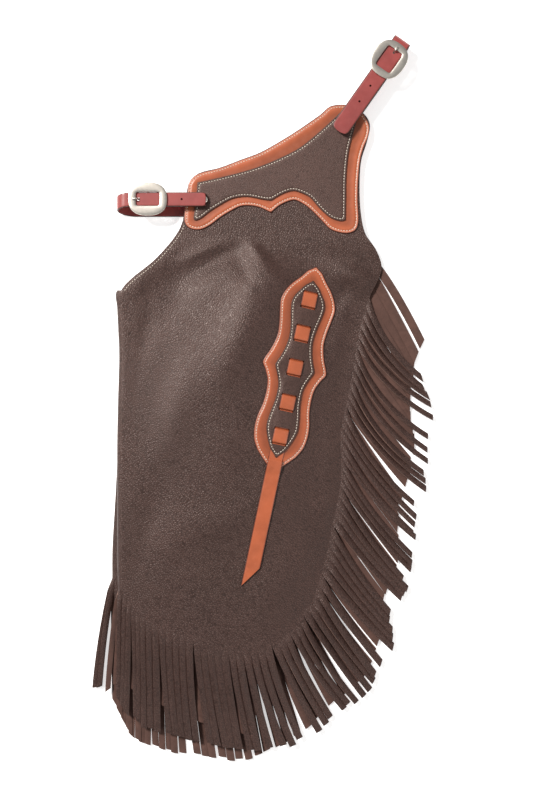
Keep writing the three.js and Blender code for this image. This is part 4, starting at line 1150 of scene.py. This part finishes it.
def stitches_piece(name, lines, sizes, height, under=False):
    """Rows of stitches along lines in plan, laid on a height that is a function of place."""
    length = STITCH_SHARE * sizes.stitch
    template, template_faces = stitch_template(length, sizes.thread)
    points, faces = [], []
    for line, closed in lines:
        ends = np.roll(line, -1, axis=0) if closed else line[1:]
        starts = line if closed else line[:-1]
        for begin, end in zip(starts, ends):
            middle, run = (begin + end) / 2, end - begin
            run = run / max(np.linalg.norm(run), 1e-9)
            z = height(middle[0], middle[1])
            slope_x = (height(middle[0] + run[0] * MM, middle[1] + run[1] * MM) - z) / MM
            ahead = np.array([run[0], run[1], float(slope_x)])
            ahead /= np.linalg.norm(ahead)
            beside = np.array([-run[1], run[0], 0.0])
            up = np.cross(ahead, beside)
            sag = -0.35 * sizes.thread * (np.abs(template[:, 0]) / (length / 2)) ** 2
            shape = (
                template[:, :1] * ahead + template[:, 1:2] * beside
                + (template[:, 2:3] + sag[:, None]) * up * (-1 if under else 1)
            )
            offset = len(points)
            points.extend(np.array([middle[0], middle[1], float(z)]) + shape)
            faces.extend(tuple(offset + n for n in face) for face in template_faces)
    obj = mesh_piece(name, points, faces)
    point_outwards(obj)
    bpy.ops.object.shade_smooth()
    return obj


# Heights of a plate over its own thickness, by the distance from its edge
BORDER_PROFILE = [
    (0, 0.5), (0.3 * MM, 0.8), (0.9 * MM, 0.98), (1.8 * MM, 1.04), (2.7 * MM, 1.04),
    (3.4 * MM, 0.78), (4.1 * MM, 1.1), (5.6 * MM, 1.26), (7.5 * MM, 1.24), (11 * MM, 1.0),
]
OVERLAY_PROFILE = [
    (0, 0.6), (0.3 * MM, 0.86), (0.8 * MM, 1.0), (2.2 * MM, 1.04), (2.9 * MM, 0.76),
    (3.6 * MM, 1.06), (6 * MM, 1.16),
]
BORDER_STITCH = 3.4 * MM
OVERLAY_STITCH = 2.9 * MM


class CHAPS_OT_yoke(bpy.types.Operator):
    """Makes the yoke plates of both legs: a scalloped tan border and a dark plate on it"""

    bl_idname = "chaps.yoke"
    bl_label = "Yoke plates"

    def execute(self, context):
        sizes, looks = context.scene.chaps_sizes, finishes()
        border = outline_of(YOKE_BORDER, YOKE_BORDER_CORNERS, 2.2 * MM)
        overlay = outline_of(YOKE_OVERLAY, YOKE_OVERLAY_CORNERS, 2.2 * MM)
        for leg in ("near", "far"):
            for kind, outline, profile, finish, colour_slot, seam in (
                ("border", border, BORDER_PROFILE, "tan", "tan_leather", BORDER_STITCH),
                ("overlay", overlay, OVERLAY_PROFILE, "plate", "dark_leather", OVERLAY_STITCH),
            ):
                node = f"{leg}_yoke_{kind}"
                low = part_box(node)[0].z
                obj = leather_plate(f"{node}_plate", outline, lambda x, y: low + 0 * x,
                                    sizes.trim, profile, under=leg == "far")
                dress(obj, colour_slot, looks[finish], replaces=[node])
                smooth_shaded(obj, 50)
                line = inset_line(outline, seam, sizes.stitch)
                level = low if leg == "far" else low + sizes.trim
                stitches = stitches_piece(f"{node}_stitches", [(line, True)], sizes,
                                          lambda x, y: level, leg == "far")
                dress(stitches, colour_slot, looks["thread"])
        return {"FINISHED"}


def ornament_plan(along, across):
    """A place on the thigh ornament, from its top along its axis and across it."""
    shifted = across - ORNAMENT_SHIFT
    return (
        ORNAMENT_TOP[0] - along * math.sin(ORNAMENT_TURN) + shifted * math.cos(ORNAMENT_TURN),
        ORNAMENT_TOP[1] - along * math.cos(ORNAMENT_TURN) - shifted * math.sin(ORNAMENT_TURN),
    )


def woven_over(along):
    """1 where the woven strap lies on the ornament, 0 where it runs underneath."""
    over = np.zeros(np.shape(along))
    for share in SQUARES:
        away = np.abs(along - share * ORNAMENT_LENGTH)
        over = np.maximum(over, 1 - smoothstep(away, SQUARE_LENGTH / 2 + 0.3 * MM,
                                               SQUARE_LENGTH / 2 + 0.55 * SLOT_LENGTH))
    return over


def ornament_rest(x, y, sizes):
    """Height of the leather's face under the ornament."""
    return near_height(x, y) + near_detail(x, y) + sizes.leather / 2 + ORNAMENT_GAP * 0.4


def ornament_outline(table):
    """The closed outline of one of the ornament's plates, pointed at its cusps."""
    table = np.array(table)
    stations = np.linspace(table[0, 0], table[-1, 0], 240)
    stations = np.sort(np.append(stations, ORNAMENT_CUSP))
    turn_row = int(np.argmin(np.abs(table[:, 0] - ORNAMENT_CUSP)))
    upper, lower = table[: turn_row + 1], table[turn_row:]
    half = np.where(
        stations < table[turn_row, 0],
        follow(upper[:, 1:], upper[:, 0], stations)[:, 0],
        follow(lower[:, 1:], lower[:, 0], stations)[:, 0],
    ) * ORNAMENT_LENGTH
    along = stations * ORNAMENT_LENGTH
    sides = [np.stack(ornament_plan(along, side * half), axis=-1) for side in (-1, 1)]
    return resampled(np.vstack([sides[0], sides[1][::-1]]), 1.7 * MM, closed=True)


def slot_outline(begin, end):
    """A slot across the ornament's axis."""
    half = WEAVE_WIDTH / 2 + 0.3 * MM
    across = np.linspace(-half, half, 9)
    along = np.array([begin, end])
    sides = [np.stack(ornament_plan(along[n], across), axis=-1) for n in (0, 1)]
    return np.vstack([sides[0], sides[1][::-1]])


def ornament_slots():
    """The slots above and below each square."""
    slots = []
    for share in SQUARES:
        middle = share * ORNAMENT_LENGTH
        inner, outer = SQUARE_LENGTH / 2 - 0.4 * MM, SQUARE_LENGTH / 2 + SLOT_LENGTH
        slots.append(slot_outline(middle - outer, middle - inner))
        slots.append(slot_outline(middle + inner, middle + outer))
    return slots


# How far the ornament's plates rise over the woven strap
BULGE_HEIGHT = 1.7 * MM


def ornament_bulge(x, y):
    """How far the plates rise where the woven strap runs under them."""
    run_x, run_y = x - ORNAMENT_TOP[0], y - ORNAMENT_TOP[1]
    along = -run_x * math.sin(ORNAMENT_TURN) - run_y * math.cos(ORNAMENT_TURN)
    across = run_x * math.cos(ORNAMENT_TURN) - run_y * math.sin(ORNAMENT_TURN) + ORNAMENT_SHIFT
    first, last = SQUARES[0] * ORNAMENT_LENGTH, SQUARES[-1] * ORNAMENT_LENGTH
    between = smoothstep(along, first - 16 * MM, first - 10 * MM)
    between = between * (1 - smoothstep(along, last + 10 * MM, last + 22 * MM))
    beside = smoothstep(np.abs(across), 8 * MM, 15 * MM)
    return BULGE_HEIGHT * between * (1 - woven_over(along)) * (1 - beside)


class CHAPS_OT_ornament(bpy.types.Operator):
    """Makes the thigh ornament: a wavy tan border, a dark plate and a strap woven through it"""

    bl_idname = "chaps.ornament"
    bl_label = "Thigh ornament"

    def execute(self, context):
        sizes, looks = context.scene.chaps_sizes, finishes()
        step = sizes.trim + 0.3 * MM
        tail_slot = slot_outline(TAIL_START - 3.6 * MM, TAIL_START + 0.9 * MM)
        for name, table, profile, seam, level, slots, finish, colour_slot, node in (
            ("ornament_border", ORNAMENT_BORDER, BORDER_PROFILE, BORDER_STITCH, 0.0,
             [*ornament_slots(), tail_slot], "tan", "tan_leather", "patch_border"),
            ("ornament_overlay", ORNAMENT_OVERLAY, OVERLAY_PROFILE, OVERLAY_STITCH, step,
             ornament_slots(), "plate", "dark_leather", "patch_overlay"),
        ):
            outline = ornament_outline(table)

            def rest(x, y, level=level):
                return ornament_rest(x, y, sizes) + ornament_bulge(x, y) + level

            plate = leather_plate(name, outline, rest, sizes.trim, profile, slots)
            dress(plate, colour_slot, looks[finish], replaces=[node])
            smooth_shaded(plate, 50)
            line = inset_line(outline, seam, sizes.stitch)
            made = stitches_piece(f"{name}_stitches", [(line, True)], sizes,
                                  lambda x, y: rest(x, y) + sizes.trim)
            dress(made, colour_slot, looks["thread"])
        self.weave(sizes, looks, step)
        return {"FINISHED"}

    def weave(self, sizes, looks, step):
        start = SQUARES[0] * ORNAMENT_LENGTH - SQUARE_LENGTH / 2 - SLOT_LENGTH - 5 * MM
        end = ORNAMENT_LENGTH + TAIL_LENGTH
        stations = np.arange(start, end, 0.8 * MM)
        stations = np.append(stations, end)
        lanes = np.linspace(-0.5, 0.5, 9)
        slant = (lanes + 0.5) * TAIL_SLANT
        late = smoothstep(stations, end - 2.2 * TAIL_SLANT, end)[:, None]
        along = stations[:, None] - slant[None, :] * late
        across = lanes[None, :] * WEAVE_WIDTH + 0 * along
        x, y = ornament_plan(along, across)
        over = woven_over(along)
        tail = smoothstep(along, TAIL_START - 1.2 * MM, TAIL_START + 1.0 * MM)
        past = smoothstep(along, ORNAMENT_LENGTH, ORNAMENT_LENGTH + 14 * MM)
        crown = 0.5 * MM * (1 - (2 * lanes[None, :]) ** 4)
        under = lerp(0.6 * MM, lerp(step * 1.25, 0.15 * MM, past), tail)
        lift = lerp(under, 2 * step + 0.3 * MM + crown, over)
        ripple = 0.5 * MM * np.sin((along - TAIL_START) / (31 * MM)) * tail * past
        rest = ornament_rest(x, y, sizes) + lift + sizes.trim / 2
        points = np.stack([x, y, rest + np.abs(ripple)], axis=-1)
        rows, columns = points.shape[:2]
        faces = grid_faces(rows, columns)
        obj = sheet_piece("ornament_woven_strap", points.reshape(-1, 3), faces,
                          np.ones(len(faces), bool))
        strip_map(obj, stations, lanes + 0.5, columns)
        thicken(obj, sizes.trim)
        modify(obj, "BEVEL", width=0.35 * MM, segments=2, limit_method="ANGLE",
               angle_limit=math.radians(50))
        dress(obj, "tan_leather", looks["tan_strip"], replaces=["patch_strap"])
        smooth_shaded(obj, 40)


def strip_map(obj, along, across, columns):
    """A UV map for a strip: X is the length along it in metres, Y the share across it."""
    layer = obj.data.uv_layers.new(name="strip")
    for loop in obj.data.loops:
        row, column = divmod(loop.vertex_index, columns)
        layer.data[loop.index].uv = (along[row], across[column])


def strap_frame(strap):
    """A function from places along, across and up to the frame."""
    middle = spot(*strap["middle"])
    cosine, sine = math.cos(strap["turn"]), math.sin(strap["turn"])

    def to_frame(along, across, height):
        along, across, height = np.broadcast_arrays(along, across, height)
        return np.stack([
            middle[0] + along * cosine - across * sine,
            middle[1] + along * sine + across * cosine, height,
        ], axis=-1)

    return to_frame


def strap_sheet(name, strap, path, width, sizes, drift=None, end_round=0.0):
    """A strap that follows a path of places along and up, with a rounded free end."""
    path = np.asarray(path, float)
    points = resampled(path, 1.4 * MM)
    steps = np.linalg.norm(np.diff(points, axis=0), axis=1)
    passed = np.concatenate([[0], np.cumsum(steps)])
    lanes = np.linspace(-0.5, 0.5, 9)
    half = np.full(len(points), 1.0)
    if end_round:
        near_end = passed < end_round
        share = 1 - passed[near_end] / end_round
        power = 2.4
        corner = min(end_round / (width / 2), 1)
        half[near_end] = 1 - corner * (1 - (1 - share**power) ** (1 / power))
    across = lanes[None, :] * width * half[:, None]
    if drift is not None:
        across = across + drift(points, passed)[:, None]
    to_frame = strap_frame(strap)
    places = to_frame(points[:, :1], across, points[:, 1:])
    rows, columns = places.shape[:2]
    faces = grid_faces(rows, columns)
    probe = np.zeros(len(faces), bool)
    probe[:20] = True
    obj = sheet_piece(name, places.reshape(-1, 3), faces, probe)
    strip_map(obj, passed, lanes * 0.999 + 0.5, columns)
    thicken(obj, sizes.strap)
    modify(obj, "BEVEL", width=0.45 * MM, segments=2, limit_method="ANGLE",
           angle_limit=math.radians(50))
    return obj


def punch(obj, strap, places, radius, height):
    """Punches round holes through a strap."""
    to_frame = strap_frame(strap)
    for along in places:
        bpy.ops.object.select_all(action="DESELECT")
        bpy.ops.mesh.primitive_cylinder_add(
            vertices=24, radius=radius, depth=9 * MM, location=tuple(to_frame(along, 0, height)))
        cutter = bpy.context.object
        modify(obj, "BOOLEAN", operation="DIFFERENCE", object=cutter, solver="EXACT")
        bpy.data.objects.remove(cutter)


HOLE_RADIUS = 1.5 * MM
TONGUE_HOLE_RADIUS = 2.3 * MM
TONGUE_HOLE_INSET = 3.4 * MM
CHAPE_BEND = -12 * MM


class CHAPS_OT_straps(bpy.types.Operator):
    """Makes both straps and the short straps that hold their buckles"""

    bl_idname = "chaps.straps"
    bl_label = "Straps"

    def execute(self, context):
        sizes, looks = context.scene.chaps_sizes, finishes()
        for name, strap in STRAPS.items():
            floor = sizes.strap / 2
            loop_start = strap["loop_end"] - strap["loop_reach"]
            rise = (BILLET_MID - floor) / 2
            turns = np.linspace(0, np.pi, 33)
            path = [(strap["free_end"], BILLET_MID)]
            path += [(loop_start + strap["loop_reach"] * math.sin(turn),
                      floor + rise * (1 + math.cos(turn))) for turn in turns]
            path.append((strap["lower_end"], floor))

            def drift(points, passed, strap=strap, loop_start=loop_start):
                upper = loop_start - strap["free_end"]
                return strap["drift"] * smoothstep(passed, upper - 10 * MM, upper + 50 * MM)

            billet = strap_sheet(f"{name}_strap", strap, path, strap["width"], sizes, drift,
                                 strap["end_round"])
            punch(billet, strap, strap["holes"], HOLE_RADIUS, BILLET_MID)
            tongue_hole = strap["window"] / 2 - TONGUE_HOLE_INSET
            punch(billet, strap, (tongue_hole,), TONGUE_HOLE_RADIUS, BILLET_MID)
            dress(billet, "latigo", looks["latigo"], replaces=[f"{name}_billet"])
            smooth_shaded(billet, 40)
            wrap = BAR_RADIUS + PLATE_GAP + sizes.strap / 2
            path = [(strap["chape_end"], CHAPE_TOP), (CHAPE_BEND, CHAPE_TOP)]
            path += [(wrap * math.sin(turn), BAR_HEIGHT + wrap * math.cos(turn))
                     for turn in np.linspace(0, np.pi, 25)]
            path += [(CHAPE_BEND, CHAPE_LOW), (strap["chape_end"], CHAPE_LOW)]
            chape = strap_sheet(f"{name}_buckle_strap", strap, path, strap["width"] - 1 * MM, sizes)
            dress(chape, "latigo", looks["latigo"], replaces=[f"{name}_chape"])
            smooth_shaded(chape, 40)
        return {"FINISHED"}


class CHAPS_OT_hardware(bpy.types.Operator):
    """Makes the buckles, their tongues and the rivet of the front strap"""

    bl_idname = "chaps.hardware"
    bl_label = "Buckles and rivet"

    def execute(self, context):
        looks = finishes()
        for name, strap in STRAPS.items():
            buckle = self.buckle(name, strap)
            dress(buckle, "nickel", looks["nickel"], replaces=[f"{name}_buckle"])
            smooth_shaded(buckle, 40)
            tongue = self.tongue(name, strap)
            dress(tongue, "nickel", looks["nickel"], replaces=[f"{name}_tongue"])
            smooth_shaded(tongue, 60)
        rivet = self.rivet()
        # The rivet takes the nickel lightened as a painted highlight.
        dress(rivet, "nickel", looks["rivet"], replaces=["front_rivet"])
        smooth_shaded(rivet, 60)
        return {"FINISHED"}

    def buckle(self, name, strap):
        """An oval frame with a crowned face and a bar on two posts, from a torus."""
        around, profile = 96, 16
        bpy.ops.object.select_all(action="DESELECT")
        bpy.ops.mesh.primitive_torus_add(
            major_segments=around, minor_segments=profile, major_radius=1, minor_radius=0.25)
        obj = bpy.context.object
        obj.name = obj.data.name = f"{name}_buckle_frame"
        co = np.array([v.co[:] for v in obj.data.vertices])
        angle = np.arctan2(co[:, 1], co[:, 0])
        radial = (np.hypot(co[:, 0], co[:, 1]) - 1) / 0.25
        up = co[:, 2] / 0.25
        fullness = 2 / 2.5
        frame_length, frame_width = strap["frame"]
        half_window, half_open = strap["window"] / 2, strap["width"] / 2 - 0.2 * MM

        def oval(value, size):
            return np.sign(value) * np.abs(value) ** fullness * size / 2

        outer = np.stack([oval(np.cos(angle), frame_length), oval(np.sin(angle), frame_width)], axis=-1)
        rounding = 9.0
        window_angle = np.arctan2(outer[:, 1] / half_open, outer[:, 0] / half_window)
        cosine, sine = np.cos(window_angle), np.sin(window_angle)
        stretch = (np.abs(cosine) ** rounding + np.abs(sine) ** rounding) ** (-1 / rounding)
        inner = np.stack([cosine * stretch * half_window, sine * stretch * half_open], axis=-1)
        share = np.clip(0.5 + 0.5 * np.sign(radial) * np.abs(radial) ** 0.9, 0, 1)[:, None]
        plan = lerp(inner, outer, share)
        crown = np.sign(up) * np.abs(up) ** 0.42
        height = FRAME_LOW + FRAME_THICKNESS / 2 + crown * FRAME_THICKNESS * np.where(up > 0, 0.72, 0.5)
        to_frame = strap_frame(strap)
        shape_points(obj, to_frame(plan[:, 0], plan[:, 1], height))
        posts = []
        post_place = strap["width"] / 2 + PLATE_GAP + BAR_RADIUS + 0.6 * MM
        top = FRAME_LOW + FRAME_THICKNESS / 2
        for sign in (-1, 1):
            bpy.ops.mesh.primitive_cylinder_add(
                vertices=20, radius=BAR_RADIUS, depth=top - BAR_HEIGHT + BAR_RADIUS,
                location=tuple(to_frame(0, sign * post_place, (top + BAR_HEIGHT - BAR_RADIUS) / 2)))
            posts.append(bpy.context.object)
        bpy.ops.mesh.primitive_cylinder_add(
            vertices=20, radius=BAR_RADIUS, depth=2 * post_place,
            location=tuple(to_frame(0, 0, BAR_HEIGHT)),
            rotation=(math.pi / 2, 0, strap["turn"]))
        posts.append(bpy.context.object)
        for post in posts:
            select_only(post)
            bpy.ops.object.transform_apply(location=True, rotation=True, scale=True)
        select_only(obj)
        bpy.ops.object.transform_apply(location=True, rotation=True, scale=True)
        for post in posts:
            modify(obj, "BOOLEAN", operation="UNION", object=post, solver="EXACT")
            bpy.data.objects.remove(post)
        point_outwards(obj)
        return obj

    def tongue(self, name, strap):
        """A round tongue bent from the bar through the strap and onto the frame's end."""
        rest = FRAME_LOW + FRAME_THICKNESS * 1.22 + 0.25 * MM + TONGUE_RADIUS
        window_end = strap["window"] / 2
        line = np.array([
            (0, BAR_HEIGHT + BAR_RADIUS + 0.3 * MM + TONGUE_RADIUS),
            (8 * MM, BAR_HEIGHT + BAR_RADIUS + 0.3 * MM + TONGUE_RADIUS),
            (window_end - 3.6 * MM, BILLET_MID + 0.2 * MM), (window_end - 0.6 * MM, rest),
            (window_end + 5 * MM, rest),
        ])
        smooth = follow(line, range(len(line)), np.linspace(0, len(line) - 1, 29))
        bpy.ops.object.select_all(action="DESELECT")
        bpy.ops.mesh.primitive_grid_add(x_subdivisions=len(smooth) - 1, y_subdivisions=14, size=1)
        obj = bpy.context.object
        obj.name = obj.data.name = f"{name}_buckle_tongue"
        co = np.array([v.co[:] for v in obj.data.vertices])
        row = np.rint((co[:, 0] + 0.5) * (len(smooth) - 1)).astype(int)
        turn = (co[:, 1] + 0.5) * 2 * np.pi
        ahead = np.gradient(smooth, axis=0)
        ahead /= np.linalg.norm(ahead, axis=1)[:, None]
        share = row / (len(smooth) - 1)
        radius = TONGUE_RADIUS * (1.05 - 0.22 * share) * np.where(share > 0.985, 0.6, 1)
        flat = np.where(share > 0.8, 0.8, 1)
        along = smooth[row, 0] - ahead[row, 1] * radius * np.sin(turn) * flat
        height = smooth[row, 1] + ahead[row, 0] * radius * np.sin(turn) * flat
        shape_points(obj, strap_frame(strap)(along, radius * np.cos(turn) * 1.2, height))
        select_only(obj)
        bpy.ops.object.mode_set(mode="EDIT")
        bpy.ops.mesh.select_all(action="SELECT")
        bpy.ops.mesh.remove_doubles(threshold=0.005 * MM)
        bpy.ops.mesh.fill_holes(sides=0)
        bpy.ops.mesh.normals_make_consistent(inside=False)
        bpy.ops.object.mode_set(mode="OBJECT")
        return obj

    def rivet(self):
        """A low domed rivet head."""
        low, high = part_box("front_rivet")
        bpy.ops.object.select_all(action="DESELECT")
        bpy.ops.mesh.primitive_uv_sphere_add(segments=32, ring_count=16, radius=1)
        obj = bpy.context.object
        obj.name = obj.data.name = "front_rivet_head"
        radius, height = (high.x - low.x) / 2, high.z - low.z
        middle = (low + high) / 2
        for vertex in obj.data.vertices:
            x, y, z = vertex.co
            rise = max(z, 0) ** 0.5 if z > 0 else -0.02
            vertex.co = (middle.x + x * radius, middle.y + y * radius,
                         low.z + 0.2 * height + rise * height * 0.8)
        point_outwards(obj)
        return obj


EDGE_SEAM = 4.2 * MM


class CHAPS_OT_edge_stitching(bpy.types.Operator):
    """Makes the row of stitches along the curved edge between the yoke and the fold"""

    bl_idname = "chaps.edge_stitching"
    bl_label = "Edge stitching"

    def execute(self, context):
        sizes, looks = context.scene.chaps_sizes, finishes()
        leg = Leg("near", sizes)
        stations = np.linspace(4.3, CORNER_STATION - 0.05, 300)
        width = leg.plan(stations, 1.0)[0] - leg.plan(stations, 0.0)[0]
        line = np.stack(leg.plan(stations, 0.0), axis=-1)
        ahead = np.gradient(line, axis=0)
        ahead /= np.linalg.norm(ahead, axis=1)[:, None]
        inward = np.stack([-ahead[:, 1], ahead[:, 0]], axis=-1)
        inward *= np.sign(inward[:, :1] * width[:, None] + 1e-12)
        line = resampled(line + inward * EDGE_SEAM, sizes.stitch)

        def height(x, y):
            return leg.height(np.asarray(x), np.asarray(y)) + sizes.leather / 2 - 0.1 * sizes.thread

        made = stitches_piece("leg_edge_stitches", [(line, False)], sizes, height)
        dress(made, "dark_leather", looks["thread"])
        return {"FINISHED"}


# The stage: lamps by name with their place, power in watts and width, and the camera's view
LAMPS = (
    ("key_light", (-2.3, 1.9, 3.1), 275, 1.0),
    ("fill_light", (3.0, -1.6, 2.8), 40, 2.4),
)
LAMP_COLOUR = (1.0, 0.965, 0.93)
WORLD_STRENGTH = 0.34
FLOOR_SIZE, FLOOR_DROP = 14, 0.3 * MM
VIEW_MIDDLE, VIEW_HEIGHT = (266.5, 400), 800 * GRID
VIEW_LEVEL = 15 * MM
LENS, SENSOR_WIDTH = 50, 36


class CHAPS_OT_stage(bpy.types.Operator):
    """Makes the pale floor, the soft lights and the camera straight above"""

    bl_idname = "chaps.stage"
    bl_label = "Floor, lights and camera"

    def execute(self, context):
        bpy.ops.object.select_all(action="DESELECT")
        bpy.ops.mesh.primitive_plane_add(size=FLOOR_SIZE, location=(0, 0, -FLOOR_DROP))
        floor = bpy.context.object
        floor.name = "floor"
        made = Finish("pale_floor")
        made.surface(Base_Color=(0.92, 0.92, 0.92, 1), Roughness=0.95, Emission_Color=(1, 1, 1, 1),
                     Emission_Strength=0.55)
        floor.data.materials.append(made.material)
        world = bpy.data.worlds.new("studio")
        world.use_nodes = True
        background = world.node_tree.nodes["Background"].inputs
        background["Color"].default_value = (1, 1, 1, 1)
        background["Strength"].default_value = WORLD_STRENGTH
        context.scene.world = world
        context.scene.view_settings.view_transform = "Standard"
        for name, place, power, width in LAMPS:
            bpy.ops.object.light_add(type="AREA", location=place)
            lamp = bpy.context.object
            lamp.name = name
            lamp.data.energy = power
            lamp.data.shape = "DISK"
            lamp.data.size = width
            lamp.data.color = LAMP_COLOUR
            lamp.rotation_euler = (-Vector(place)).to_track_quat("-Z", "Y").to_euler()
        middle = spot(*VIEW_MIDDLE)
        data = bpy.data.cameras.new("camera")
        data.lens, data.sensor_width = LENS, SENSOR_WIDTH
        camera = bpy.data.objects.new("camera", data)
        context.scene.collection.objects.link(camera)
        camera.location = (*middle, VIEW_LEVEL + VIEW_HEIGHT * LENS / SENSOR_WIDTH)
        context.scene.camera = camera
        return {"FINISHED"}


class CHAPS_PT_panel(bpy.types.Panel):
    """Lists the steps that build the chaps"""

    bl_idname = "CHAPS_PT_panel"
    bl_label = "Western chaps"
    bl_space_type = "VIEW_3D"
    bl_region_type = "UI"
    bl_category = "Chaps"

    def draw(self, context):
        column = self.layout.column()
        for step in STEPS:
            column.operator(step.bl_idname)


STEPS = (
    CHAPS_OT_stage, CHAPS_OT_legs, CHAPS_OT_fringe, CHAPS_OT_edge_stitching, CHAPS_OT_yoke,
    CHAPS_OT_ornament, CHAPS_OT_straps, CHAPS_OT_hardware,
)
CLASSES = (ChapsSizes, ChapsColours, *STEPS, CHAPS_PT_panel)


def register():
    for each in CLASSES:
        bpy.utils.register_class(each)
    bpy.types.Scene.chaps_sizes = bpy.props.PointerProperty(type=ChapsSizes)
    bpy.types.Scene.chaps_colours = bpy.props.PointerProperty(type=ChapsColours)


def unregister():
    del bpy.types.Scene.chaps_colours
    del bpy.types.Scene.chaps_sizes
    for each in reversed(CLASSES):
        bpy.utils.unregister_class(each)


def main():
    register()
    for obj in bpy.context.scene.objects:
        obj.select_set(False)
    bpy.ops.chaps.stage()
    bpy.ops.chaps.legs()
    bpy.ops.chaps.fringe()
    bpy.ops.chaps.edge_stitching()
    bpy.ops.chaps.yoke()
    bpy.ops.chaps.ornament()
    bpy.ops.chaps.straps()
    bpy.ops.chaps.hardware()


if __name__ == "__main__":
    main()
